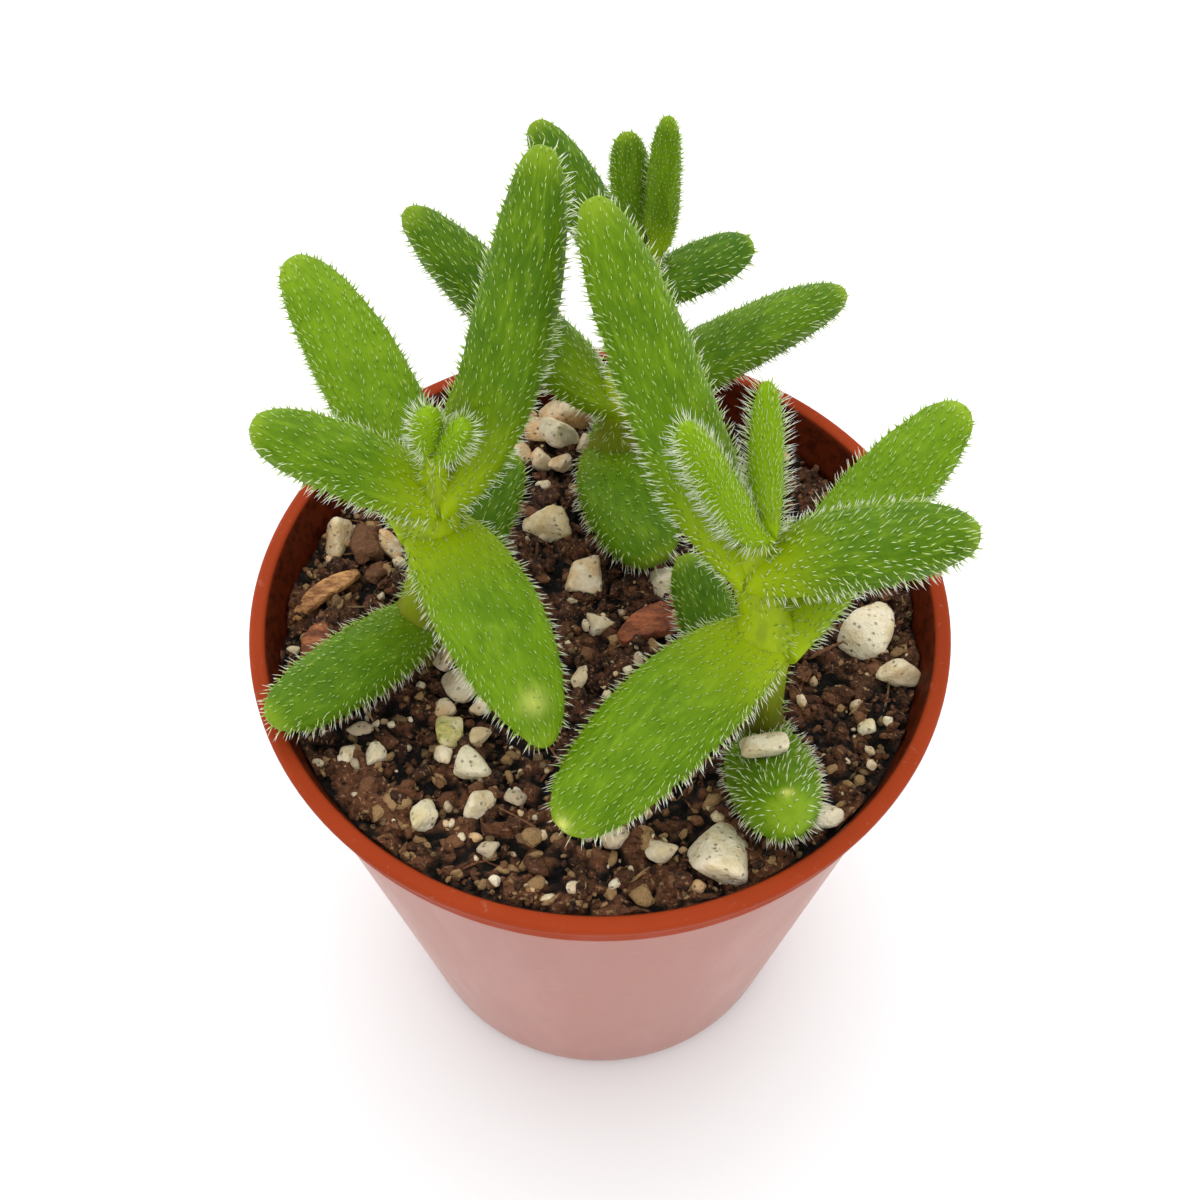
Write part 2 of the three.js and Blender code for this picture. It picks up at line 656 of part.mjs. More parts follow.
// True where a point lies inside a stem or leaf, or within the margin of it.
function isNear(form, point, margin) {
  const rings = form.rings;
  const offset = vec(0, 0, 0);
  for (let k = 0; k < rings.length; k += 1) {
    const here = rings[k];
    const next = rings[Math.min(k + 1, rings.length - 1)];
    const end = k + 1 < rings.length ? next.centre : form.tip;
    const step = end.clone().sub(here.centre);
    const length = step.length();
    const along = offset.copy(point).sub(here.centre).dot(step) / (length * length);
    if (along < -margin / length || along > 1 + margin / length) continue;
    const t = THREE.MathUtils.clamp(along, 0, 1);
    const tail = k + 1 < rings.length ? next : { ...here, halfWidth: 0, halfThickness: 0 };
    const w = THREE.MathUtils.lerp(here.halfWidth, tail.halfWidth, t) + margin;
    const h = THREE.MathUtils.lerp(here.halfThickness, tail.halfThickness, t);
    offset.copy(point).sub(here.centre).addScaledVector(step, -t);
    const x = offset.dot(here.across) / w;
    const y = offset.dot(here.up);
    const share = form.stem ? 1 : y > 0 ? 2 * UPPER_SHARE : 2 * (1 - UPPER_SHARE);
    if (Math.hypot(x, y / (h * share + margin)) < 1) return true;
  }
  return false;
}

// Bristles grown so far, as points along them, so that those of two pieces never cross.
const BRISTLE_POINTS = [];

function isClear(point, owner, forms, stones) {
  const r = Math.hypot(point.x, point.y);
  if (point.z < soilHeight(point.x, point.y) + BRISTLE_CLEARANCE) return false;
  const overRim = r > innerRadius(COLLAR_BOTTOM) - BRISTLE_CLEARANCE;
  if (overRim && point.z < POT_HEIGHT + BRISTLE_CLEARANCE) return false;
  for (const form of forms) {
    if (form !== owner && isNear(form, point, BRISTLE_LEAF_CLEARANCE)) return false;
  }
  for (const { stone, centre } of stones) {
    const away = point.clone().sub(centre).toArray();
    const shares = away.map((value, axis) => value / (stone.size[axis] / 2 + BRISTLE_CLEARANCE));
    if (Math.hypot(...shares) < 1) return false;
  }
  return BRISTLE_POINTS.every(
    (other) => other.owner === owner || other.point.distanceTo(point) > BRISTLE_CLEARANCE,
  );
}

// Each bristle stands on a small triangle set in a face, and leans towards the tip.
function growBristles(form, mesh, spacing, random, forms, stones) {
  const { points, triangles } = mesh;
  const order = triangles.map((_, i) => i);
  for (let i = order.length - 1; i > 0; i -= 1) {
    const j = Math.floor(random() * (i + 1));
    [order[i], order[j]] = [order[j], order[i]];
  }
  const roots = [];
  const isFoot = (corners) => corners.some((c) => c < form.sides);
  for (const index of order) {
    const corners = triangles[index];
    if (isFoot(corners)) continue;
    const [a, b, c] = corners.map((k) => points[k]);
    const root = a.clone().add(b).add(c).divideScalar(3);
    if (roots.some((other) => other.distanceTo(root) < spacing)) continue;
    const byNode = form.shoot.pairs.some((pair) => pair.at.distanceTo(root) < NODE_REACH);
    if (form.stem && byNode) continue;
    const normal = b.clone().sub(a).cross(c.clone().sub(a)).normalize();
    const edge = (a.distanceTo(b) + b.distanceTo(c) + c.distanceTo(a)) / 3;
    const forward = form.rings[form.rings.length - 1].facing;
    const lean = BRISTLE_LEAN * vary(random, LEAN_SPREAD);
    const direction = normal.clone().addScaledVector(forward, lean).normalize();
    const usual = BRISTLE_LENGTH * (form.young ? YOUNG_LENGTH_SHARE : 1);
    const full = usual * vary(random, LENGTH_SPREAD);
    const fits = BRISTLE_CHOICES.find((share) =>
      BRISTLE_PROBES.every((t) => {
        const probe = root.clone().addScaledVector(direction, full * share * t);
        return isClear(probe, form, forms, stones);
      }),
    );
    if (!fits) continue;
    roots.push(root);
    const apex = root.clone().addScaledVector(direction, full * fits);
    for (const t of BRISTLE_PROBES) {
      BRISTLE_POINTS.push({ owner: form, point: root.clone().lerp(apex, t) });
    }
    const inner = corners.map((k) => {
      points.push(root.clone().lerp(points[k], BRISTLE_WIDTH / edge));
      return points.length - 1;
    });
    points.push(apex);
    const top = points.length - 1;
    const [p, q, r] = corners;
    const [u, v, w] = inner;
    triangles[index] = [u, v, top];
    triangles.push([v, w, top], [w, u, top]);
    triangles.push([p, q, v], [p, v, u], [q, r, w], [q, w, v], [r, p, u], [r, u, w]);
  }
}

// A leaf's base is hollowed to clasp its stem.
function clasp(geometry, form, forms) {
  const stem = forms.find((other) => other.stem && other.shoot === form.shoot);
  const mesh = skin(stem, GAP);
  const cut = toSolid(geometry).subtract(toSolid(fromTriangles(mesh.points, mesh.triangles)));
  const bodies = cut.decompose().sort((a, b) => b.volume() - a.volume());
  return toGeometry(bodies[0]);
}

function buildPlant() {
  const forms = [];
  for (const shoot of SHOOTS) {
    forms.push({ ...stemForm(shoot), name: `stem_${shoot.name}`, material: MATERIALS.stem, shoot });
    for (const pair of shoot.pairs) {
      for (const side of ["a", "b"]) {
        const form = leafForm(pair, pair[side], side);
        form.name = `leaf_${shoot.name}_${pair.name}_${side}`;
        form.material = form.young ? MATERIALS.youngLeaf : MATERIALS.leaf;
        form.shoot = shoot;
        forms.push(form);
      }
    }
  }
  const stones = pumiceForms();

  let soil = toSolid(makeSoilBlock());
  for (const stone of stones) {
    soil = soil.subtract(toSolid(pumiceGeometry(stone, GAP)));
  }
  for (const chip of BARK) {
    soil = soil.subtract(toSolid(chipGeometry(chip, GAP)));
  }
  for (const form of forms) {
    const mesh = skin(form, GAP);
    soil = soil.subtract(toSolid(fromTriangles(mesh.points, mesh.triangles)));
  }
  addMesh("soil", toGeometry(soil), MATERIALS.soil);

  for (const stone of stones) {
    addMesh(stone.name, pumiceGeometry(stone, 0), MATERIALS.pumice);
  }
  BARK.forEach((chip, index) => {
    addMesh(`bark_${index + 1}`, chipGeometry(chip, 0), MATERIALS.bark);
  });

  const random = makeRandom(7);
  for (const form of forms) {
    const mesh = skin(form, 0);
    const spacing = BRISTLE_SPACING * (form.young ? YOUNG_SPACING_SHARE : 1);
    growBristles(form, mesh, spacing, random, forms, stones);
    const geometry = fromTriangles(mesh.points, mesh.triangles);
    addMesh(form.name, form.stem ? geometry : clasp(geometry, form, forms), form.material);
  }
}

makePot();
buildPlant();

export default plant;
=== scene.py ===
"""A potted pickle plant: bristly leaves in pairs on three short stems, gritty soil, a plastic nursery pot.

Lengths are in millimetres up to the last step of each piece, which turns them into metres.
"""

import math

import bpy
import numpy as np
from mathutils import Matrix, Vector


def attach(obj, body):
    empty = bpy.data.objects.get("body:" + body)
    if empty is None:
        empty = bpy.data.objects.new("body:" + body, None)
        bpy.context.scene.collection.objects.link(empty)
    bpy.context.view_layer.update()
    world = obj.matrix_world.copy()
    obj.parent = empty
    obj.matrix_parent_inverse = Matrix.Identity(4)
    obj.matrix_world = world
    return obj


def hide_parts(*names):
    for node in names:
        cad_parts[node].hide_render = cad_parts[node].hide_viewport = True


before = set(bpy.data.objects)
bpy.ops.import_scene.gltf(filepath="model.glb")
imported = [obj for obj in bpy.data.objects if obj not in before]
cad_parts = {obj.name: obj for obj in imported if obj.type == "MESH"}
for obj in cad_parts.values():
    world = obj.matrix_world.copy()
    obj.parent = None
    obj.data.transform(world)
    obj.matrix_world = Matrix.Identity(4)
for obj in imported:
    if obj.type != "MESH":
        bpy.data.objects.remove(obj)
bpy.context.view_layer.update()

MM = 0.001
GAP = 0.3

# The pot, in proportions taken from the photograph.
POT_HEIGHT = 52.0
RIM_RADIUS = 27.5
COLLAR_RADIUS = 26.9
NECK_RADIUS = 26.2
BASE_RADIUS = 18.0
POT_WALL = 1.0
BEAD_HEIGHT = 1.2
BEAD_WIDTH = 1.4
COLLAR_BOTTOM = POT_HEIGHT - 3.5
FLOOR_TOP = 2.0
GROOVE_DEPTH = 1.0
GROOVE_INNER = 8.0
GROOVE_OUTER = 15.0
FOOT_BEVEL = 0.6
LIP_ROUND = 0.3
POT_SEGMENTS = 160
DRAIN_HOLES = 6
DRAIN_HOLE_RADIUS = 1.8

# The soil's surface, as the stones and stems stand in it.
SOIL_LEVEL = 48.9
SOIL_RADIUS = 25.0
SOIL_SLOPE = 0.05
SOIL_RIPPLE = 0.35
SOIL_GAP = 0.1
SHOULDER_DROP = 2.0

# The camera of the photograph, from the ellipses of the pot's rim and base.
CAMERA_DISTANCE = 139.9
CAMERA_ELEVATION = 55.58
CAMERA_TARGET_HEIGHT = 52.95
SENSOR_WIDTH = 36.0
CAMERA_LENS = 53.7


# Vectors and noise.


def unit(v):
    v = np.asarray(v, float)
    return v / np.linalg.norm(v, axis=-1, keepdims=True)


def heading(azimuth, rise=0.0):
    """A unit vector from a compass angle round +Z and a rise above the level."""
    a, e = math.radians(azimuth), math.radians(rise)
    return np.array([math.cos(a) * math.cos(e), math.sin(a) * math.cos(e), math.sin(e)])


def smooth(t):
    t = np.clip(t, 0.0, 1.0)
    return t * t * (3 - 2 * t)


def noise(points, size, seed):
    """Smooth noise between -1 and 1, with lumps of about that size."""
    q = np.asarray(points, float) / size
    cell = np.floor(q).astype(np.int64)
    f = smooth(q - cell)
    total = np.zeros(len(q))
    for corner in np.ndindex(2, 2, 2):
        c = cell + np.array(corner)
        h = (c[:, 0] * 73856093) ^ (c[:, 1] * 19349663) ^ (c[:, 2] * 83492791) ^ (seed * 40503)
        h = (h * 2654435761) & 0xFFFFFFFF
        h = ((h >> 15) ^ h) * 2246822519 & 0xFFFFFFFF
        value = ((h >> 13) ^ h) & 0xFFFF
        weight = np.ones(len(q))
        for axis in range(3):
            weight = weight * (f[:, axis] if corner[axis] else 1 - f[:, axis])
        total += weight * (value / 32767.5 - 1)
    return total


def octaves(points, size, seed, count=3):
    return sum(noise(points, size / 2**k, seed + k) / 2**k for k in range(count))


def soil_height(x, y):
    ripple = np.sin(0.9 * x + 1.7) * np.cos(0.8 * y - 0.4)
    return SOIL_LEVEL - SOIL_SLOPE * y + SOIL_RIPPLE * ripple


def outer_radius(z):
    return BASE_RADIUS + (NECK_RADIUS - BASE_RADIUS) * z / COLLAR_BOTTOM


def inner_radius(z):
    return outer_radius(z) - POT_WALL


def mouth_radius(z):
    """The radius of the pot's inside near the soil's surface."""
    neck, mouth = inner_radius(COLLAR_BOTTOM), RIM_RADIUS - BEAD_WIDTH
    share = (z - COLLAR_BOTTOM) / (POT_HEIGHT - LIP_ROUND - COLLAR_BOTTOM)
    return np.where(z < COLLAR_BOTTOM, inner_radius(z), neck + (mouth - neck) * share)


# Meshes.


class Shape:
    """Corner points in millimetres, faces, a material number a face and named values a corner."""

    def __init__(self):
        self.points, self.faces, self.kinds, self.values = [], [], [], {}
        self.count = 0

    def add(self, points, faces, kind=0, **values):
        """Adds points and blocks of faces: in a block each face has the same number of corners."""
        points = np.asarray(points, float).reshape(-1, 3)
        self.points.append(points)
        for block in faces:
            block = np.asarray(block, int)
            self.faces += (block + self.count).tolist()
            self.kinds += [kind] * len(block)
        for name in sorted(set(values) | set(self.values)):
            rows = self.values.setdefault(name, [np.zeros(self.count)] if self.count else [])
            rows.append(np.broadcast_to(values.get(name, 0.0), (len(points),)).astype(float))
        self.count += len(points)

    def build(self, name, materials):
        mesh = bpy.data.meshes.new(name)
        points = np.concatenate(self.points) * MM
        mesh.from_pydata(points.tolist(), [], self.faces)
        for key, rows in self.values.items():
            layer = mesh.attributes.new(key, "FLOAT", "POINT")
            layer.data.foreach_set("value", np.concatenate(rows).astype(np.float32))
        for material in materials:
            mesh.materials.append(material)
        mesh.polygons.foreach_set("material_index", self.kinds)
        mesh.polygons.foreach_set("use_smooth", [True] * len(self.kinds))
        mesh.update()
        piece = bpy.data.objects.new(name, mesh)
        bpy.context.scene.collection.objects.link(piece)
        return piece


def place(piece, slot, *nodes):
    """Every piece rides on the plant's one body, and takes the place of its CAD nodes."""
    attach(piece, "root")
    if nodes:
        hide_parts(*nodes)
    return piece


def tube_faces(rings, sides):
    """Faces of a tube of point loops, in the order that makes them face outward."""
    k, j = np.meshgrid(np.arange(rings - 1), np.arange(sides), indexing="ij")
    a = (k * sides + j).ravel()
    b = (k * sides + (j + 1) % sides).ravel()
    return np.stack([a, b, b + sides, a + sides], 1)


def capped_tube(rings, sides):
    """Faces of a tube that closes on two more corners, which come after those of its loops."""
    count, last = rings * sides, (rings - 1) * sides
    ends = [[count, (j + 1) % sides, j] for j in range(sides)]
    ends += [[last + j, last + (j + 1) % sides, count + 1] for j in range(sides)]
    return [tube_faces(rings, sides), ends]


def around(count):
    """Evenly spaced angles round a circle."""
    return 2 * math.pi * np.arange(count) / count


def circles(side, other, angles):
    """For each pair of directions across a line, the directions round it."""
    return side[:, None] * np.cos(angles)[None, :, None] + other[:, None] * np.sin(angles)[None, :, None]


# Bristles. The stations are heights above the root in millimetres, the share of the bend and the radius.

BRISTLE_SIDES = 3
BRISTLE_ROOT = (-0.06, 0.0, 0.14)
BRISTLE_BEAD = (0.14, 0.1, 0.06)
BRISTLE_MIDDLE = (0.6, 0.5, 0.034)


def add_bristles(shape, roots, normals, forwards, lengths, kind, rng, lean=0.35, thickness=1.0, pale=1.0):
    """Each bristle is a bead at its root that narrows to a hair, which leans and curves forward.

    The middle station's height is a share of the bristle's length.
    """
    count = len(roots)
    lean = np.broadcast_to(lean, (count,))[:, None]
    thickness = np.broadcast_to(thickness, (count,))[:, None, None]
    jitter = rng.normal(0, 0.14, (count, 3))
    first = unit(normals + 0.5 * lean * forwards + jitter)
    last = unit(normals + 1.7 * lean * forwards + 1.6 * jitter)
    across = unit(np.cross(first, unit(forwards + 0.01 * jitter + [0.003, 0.005, 0.007])))
    other = np.cross(first, across)
    lengths = np.asarray(lengths)[:, None]
    stations = [(1, *BRISTLE_ROOT), (1, *BRISTLE_BEAD), (lengths, *BRISTLE_MIDDLE)]
    circle = circles(across, other, around(BRISTLE_SIDES))
    loops, rises = [], []
    for unit_height, height, bend, radius in stations:
        centre = roots + (first * (1 - bend) + last * bend) * (height * unit_height)
        loops.append(centre[:, None] + circle * radius * thickness)
        rises.append(np.full((count, BRISTLE_SIDES), bend))
    apex = roots + (0.4 * first + 0.6 * last) * lengths
    points = np.concatenate(loops + [apex[:, None]], axis=1)
    rise = np.concatenate(rises + [np.ones((count, 1))], axis=1)
    per = points.shape[1]
    tube = tube_faces(len(stations), BRISTLE_SIDES)
    top = BRISTLE_SIDES * (len(stations) - 1)
    tip = [[top + j, top + (j + 1) % BRISTLE_SIDES, per - 1] for j in range(BRISTLE_SIDES)]
    starts = (np.arange(count) * per)[:, None, None]
    quads = (starts + tube[None]).reshape(-1, 4)
    tris = (starts + np.array(tip)[None]).reshape(-1, 3)
    white = np.repeat(np.broadcast_to(pale, (count,)), per)
    shape.add(points, [quads, tris], kind, rise=rise.ravel(), pale=white)


# Leaves and stems. Nearly all numbers are those of the solids that these pieces stand for.


def one_leaf(azimuth, rise, reach, base, width, thickness, arch, **look):
    """A leaf's heading, length, sizes and arch, and the rest of its look: its own colour and hair, and its
    painted light, shade and highlight.
    """
    sizes = dict(azimuth=azimuth, rise=rise, reach=reach, base=base, width=width, thickness=thickness)
    return dict(sizes, arch=arch, **look)


def pair_at(x, y, z, stem, across, **leaves):
    """A pair of leaves at its node, the stem's radius there and the way in which the first one points."""
    return dict(leaves, at=(x, y, z), stem=stem, across=across)


# In the leaves' rows, light sets how lit or shaded a leaf is painted, a low lime paints it in shade, and a
# pale patch placed along the upper face and scaled by glow is a painted highlight.
SHOOTS = {
    "left": dict(
        foot=(-14.2, -2.2, 48.0),
        low=pair_at(
            -13.7, -1.9, 53.5, stem=1.6, across=-130,
            a=one_leaf(-136, 6, 14.9, 4.4, 6, 4.4, 0.05, sway=0.05, light=0.45, lime=0.2),
            b=one_leaf(61, 18, 14.9, 4.4, 5.4, 4.4, 0, light=0.1, lime=0.2),
        ),
        middle=pair_at(
            -12.0, -1.4, 64.2, stem=1.5, across=-60,
            a=one_leaf(
                -62, -15, 18.3, 5.2, 7.6, 4, 0.1, sway=0.07, blunt=1.7, light=0.7,
                spot=(0.84, 0.9), glow=0.6,
            ),
            b=one_leaf(122, 26, 22.7, 5.4, 6.7, 4.2, 0, sway=-0.1, light=0.9),
        ),
        upper=pair_at(
            -11.7, -0.8, 67.7, stem=1.2, across=190,
            a=one_leaf(175, 26, 13.7, 4.4, 5.6, 4.2, 0.1, light=0.45),
            b=one_leaf(61, 50, 25.3, 4.8, 5.9, 4.8, -0.04, sway=-0.11, light=0.2),
        ),
        young=pair_at(
            -11.3, -0.8, 72.2, stem=0.8, across=150,
            a=one_leaf(152, 86, 4.2, 1.5, 2.3, 2.0, 0.02),
            b=one_leaf(-8, 58, 4.2, 1.5, 2.3, 2.0, 0.02),
        ),
    ),
    "right": dict(
        foot=(12.0, -9.4, 48.0),
        low=pair_at(
            12.0, -9.4, 49.2, stem=1.7, across=-70,
            a=one_leaf(
                -83, 33, 13.2, 4, 6.6, 6, -0.24, light=0.8, lime=0.2, top_hair=1.0,
                spot=(0.95, 0.4),
            ),
            b=one_leaf(116, 30, 14.5, 4, 5, 4.6, -0.05, light=0.15, lime=0.2),
        ),
        middle=pair_at(
            11.8, -9.2, 62.0, stem=1.6, across=-140,
            a=one_leaf(-138, -14, 20, 4.6, 8.2, 4, 0.1, sway=-0.05, light=0.55, spot=(0.985, 0.5)),
            b=one_leaf(45, 21, 22, 6, 6.4, 4.2, 0, sway=0.05, light=0.9),
        ),
        upper=pair_at(
            10.7, -6.8, 67.4, stem=1.3, across=-20,
            a=one_leaf(1, 11, 15.5, 4.8, 5.9, 5, 0.15, light=0.2, top_hair=0.5),
            b=one_leaf(126, 45, 27.2, 4.8, 6.1, 4.8, -0.03, light=0.5),
        ),
        young=pair_at(
            10.9, -6.6, 70.6, stem=0.8, across=60,
            a=one_leaf(88, 50, 10.4, 2.4, 2.3, 2.2, -0.02, hair=1.15),
            b=one_leaf(162, 58, 11, 2.4, 2.8, 2.4, -0.02, hair=1.2),
        ),
    ),
    "back": dict(
        foot=(1.2, 16.2, 48.0),
        low=pair_at(
            1.2, 16.2, 51.6, stem=1.6, across=-90,
            a=one_leaf(
                -73, 2, 12.4, 5, 7.4, 4.6, 0.1, sway=-0.13, hair=1.15, light=0.4,
                lime=0.3, top_hair=0.6,
            ),
            b=one_leaf(65, 12, 8, 4.4, 5, 4.2, 0.05, light=0.1, lime=0.1),
        ),
        middle=pair_at(
            1.7, 16.8, 57.5, stem=1.5, across=10,
            a=one_leaf(26, 8, 20.9, 4.6, 5.3, 4.5, 0.09, light=0.3, lime=0.4),
            b=one_leaf(150, 30, 22.8, 4.6, 5.8, 4.6, -0.03, light=0.1, lime=0.5),
        ),
        upper=pair_at(
            3.4, 19.8, 67.4, stem=1.2, across=-30,
            a=one_leaf(20, 9, 9.2, 4, 4.2, 3.7, 0.04, light=0.05, lime=0.1),
            b=one_leaf(133, 34, 15, 4, 4.4, 3.8, 0, light=0.15, lime=0.5),
        ),
        young=pair_at(
            3.8, 20.6, 70.3, stem=0.8, across=-40,
            a=one_leaf(60, 78, 11.5, 2, 2.6, 2.2, -0.05, light=0.15, fresh=0.3, hair=0.6),
            b=one_leaf(119, 66, 9.5, 2, 3.5, 2.4, -0.05, sway=0.03, light=0.1, fresh=0.2, hair=0.6),
        ),
    ),
}
PAIRS = ("low", "middle", "upper", "young")

WIDEST_AT = 0.48
BLUNTNESS = 2.3
UPPER_SHARE = 0.4
SHEATH = 1.5
YOUNG_SHEATH = 0.7


def outline(s, base, bluntness=BLUNTNESS):
    """Half width along a leaf, as a share of its greatest: from its base to its blunt tip."""
    rising = base + (1 - base) * np.sin((math.pi / 2) * np.minimum(s / WIDEST_AT, 1))
    u = np.clip((s - WIDEST_AT) / (1 - WIDEST_AT), 0, 1)
    return np.where(s < WIDEST_AT, rising, (1 - u**bluntness) ** (1 / bluntness))


class LeafForm:
    """The smooth form of one leaf, as a function of the place along it and the angle round it."""

    def __init__(self, pair, side, young):
        at, leaf = np.array(pair["at"], float), pair[side]
        self.leaf, self.young = leaf, young
        self.outward = heading(pair["across"] + (180 if side == "b" else 0))
        self.level = heading(leaf["azimuth"])
        start = at + self.outward * GAP / 2
        tip = at + heading(leaf["azimuth"], leaf["rise"]) * leaf["reach"]
        self.length = np.linalg.norm(tip - start)
        middle = start + (tip - start) * 0.45 + [0, 0, leaf["arch"] * self.length]
        middle = middle + heading(leaf["azimuth"] + 90) * leaf.get("sway", 0) * self.length
        pull = start + self.outward * 0.12 * self.length
        self.knots = np.stack([start, pull * 0.65 + middle * 0.35, middle * 0.6 + tip * 0.4, tip])
        self.sheath = 2 * (YOUNG_SHEATH if young else SHEATH) / leaf["thickness"]

    def spine(self, s):
        s = s[:, None]
        a, b, c, d = self.knots
        place = (1 - s) ** 3 * a + 3 * (1 - s) ** 2 * s * b + 3 * (1 - s) * s**2 * c + s**3 * d
        slope = 3 * (1 - s) ** 2 * (b - a) + 6 * (1 - s) * s * (c - b) + 3 * s**2 * (d - c)
        return place, unit(slope)

    def half_sizes(self, s):
        width, base = self.leaf["width"], self.leaf["base"]
        w = width / 2 * outline(s, base / width, self.leaf.get("blunt", BLUNTNESS))
        return w, self.leaf["thickness"] / 2 * outline(s, self.sheath)

    def surface(self, s, angle):
        """Points of the skin at places s along and angles round, both flat arrays."""
        place, tangent = self.spine(s)
        turn = smooth(s / 0.3)[:, None]
        facing = unit(self.outward * (1 - turn) + tangent * turn)
        level = unit(self.level * turn + self.outward * (1 - turn))
        across = np.stack([-level[:, 1], level[:, 0], 0 * s], 1)
        across = unit(across - facing * np.sum(across * facing, 1, keepdims=True))
        up = np.cross(facing, across)
        w, h = self.half_sizes(s)
        share = np.where(np.sin(angle) > 0, UPPER_SHARE, 1 - UPPER_SHARE)
        x = w * np.cos(angle)
        y = h * 2 * share * np.sin(angle)
        return place + across * x[:, None] + up * y[:, None], facing

    def normals(self, s, angle):
        step = 1e-3
        at, _ = self.surface(s, angle)
        along, _ = self.surface(np.minimum(s + step, 0.9995), angle)
        back, _ = self.surface(np.maximum(s - step, 0), angle)
        ahead, _ = self.surface(s, angle + step)
        return at, unit(np.cross(ahead - at, along - back))

    def girth(self, s):
        w, h = self.half_sizes(s)
        return math.pi * (3 * (w + h) - np.sqrt((3 * w + h) * (w + 3 * h)))


LEAF_RINGS = 56
LEAF_SIDES = 36
BRISTLE_LENGTH = 0.95
YOUNG_BRISTLE_LENGTH = 1.15
BRISTLE_SPACING = 0.56
YOUNG_BRISTLE_SPACING = 0.31
BARE_FOOT = 0.07
STREAK_STRETCH = 0.35
LEAF_SWELL = (0.10, 2.4)
LEAF_PORES = (0.035, 0.6)


def make_leaf(name, pair, side, young, materials, seed):
    form = LeafForm(pair, side, young)
    shape = Shape()
    add_leaf_skin(shape, form, seed)
    add_leaf_bristles(shape, form, np.random.default_rng(seed))
    return shape.build(name, materials)


def add_leaf_skin(shape, form, seed):
    """The leaf's skin with its gentle swellings, which are depths and sizes in millimetres."""
    leaf = form.leaf
    share = np.arange(LEAF_RINGS) / (LEAF_RINGS - 1)
    s = 0.999 * (1 - (1 - share) ** 1.7)
    grid_s, grid_a = np.repeat(s, LEAF_SIDES), np.tile(around(LEAF_SIDES), LEAF_RINGS)
    points, normals = form.normals(grid_s, grid_a)
    fade = smooth(grid_s / 0.25)
    swell = LEAF_SWELL[0] * octaves(points, LEAF_SWELL[1], seed)
    swell = swell + LEAF_PORES[0] * noise(points, LEAF_PORES[1], seed + 9)
    points = points + normals * (swell * fade)[:, None] * min(1, leaf["width"] / 6)
    tip = points[-LEAF_SIDES:].mean(0)
    foot = points[:LEAF_SIDES].mean(0)
    every = np.vstack([points, foot, tip])
    # A painted highlight: a pale patch on the upper face, at a place along the leaf and of a radius,
    # scaled by glow.
    place_s, radius = leaf.get("spot", (0.9, 0.0))
    spot_at, _ = form.surface(np.array([place_s]), np.array([math.pi / 2]))
    spot = np.exp(-((np.linalg.norm(every - spot_at, axis=1) / max(radius, 1e-6)) ** 2))
    spot = spot * leaf.get("glow", 1.0)
    along = np.concatenate([grid_s, [0, 1]])
    half = leaf["width"] / 2 * MM
    shape.add(
        every, capped_tube(LEAF_RINGS, LEAF_SIDES), 0,
        along=along, run=along * form.length * STREAK_STRETCH * MM,
        round_x=np.concatenate([np.cos(grid_a), [0, 0]]) * half,
        round_y=np.concatenate([np.sin(grid_a), [0, 0]]) * half,
        fresh=leaf.get("fresh", float(form.young)), light=leaf.get("light", 0.5),
        lime=leaf.get("lime", 1.0), spot=spot,
    )


def add_leaf_bristles(shape, form, rng):
    """Bristles in loose rows round the leaf: on its upper side they are shorter and lie flatter."""
    leaf, young = form.leaf, form.young
    spacing = YOUNG_BRISTLE_SPACING if young else BRISTLE_SPACING
    rows = int(form.length / spacing)
    places, turns = [], []
    for row in range(rows):
        at = (row + 0.7) / (rows + 0.2)
        if at < BARE_FOOT:
            continue
        in_row = max(3, int(round(form.girth(np.array([at]))[0] / spacing)))
        turns.append(2 * math.pi * (np.arange(in_row) + rng.random()) / in_row)
        places.append(np.full(in_row, at))
    places, turns = np.concatenate(places), np.concatenate(turns)
    places = np.clip(places + rng.normal(0, 0.25 * spacing / form.length, len(places)), 0.05, 0.995)
    radius = np.maximum(0.5, form.girth(places) / (2 * math.pi))
    turns = turns + rng.normal(0, 0.3, len(turns)) * spacing / radius
    roots, outward = form.normals(places, turns)
    _, forwards = form.spine(places)
    top = smooth((np.sin(turns) - 0.1) / 0.5) * (1 - leaf.get("top_hair", 0.0))
    full = (YOUNG_BRISTLE_LENGTH if young else BRISTLE_LENGTH) * leaf.get("hair", 1.0)
    lengths = full * rng.uniform(0.65, 1.15, len(roots)) * (1 - 0.5 * top)
    add_bristles(
        shape, roots, outward, forwards, lengths, 1, rng, lean=0.35 + 0.9 * top,
        thickness=(0.6 if young else 0.85) * (1 - 0.25 * top), pale=1 - 0.75 * top,
    )


STEM_DEPTH = 9.0
STEM_FOOT_RADIUS = 1.7
STEM_TIP_RADIUS = 0.7
STEM_SIDES = 24
NODE_SWELL = 0.7
NODE_REACH = 1.8
STEM_SPAN = 16
STEM_BRISTLES = 600
STEM_BRISTLE_LENGTH = 0.9
STEM_TONE_HEIGHT = 16


def between(u, low, high, a, b):
    return (high - u) / (high - low) * a + (u - low) / (high - low) * b


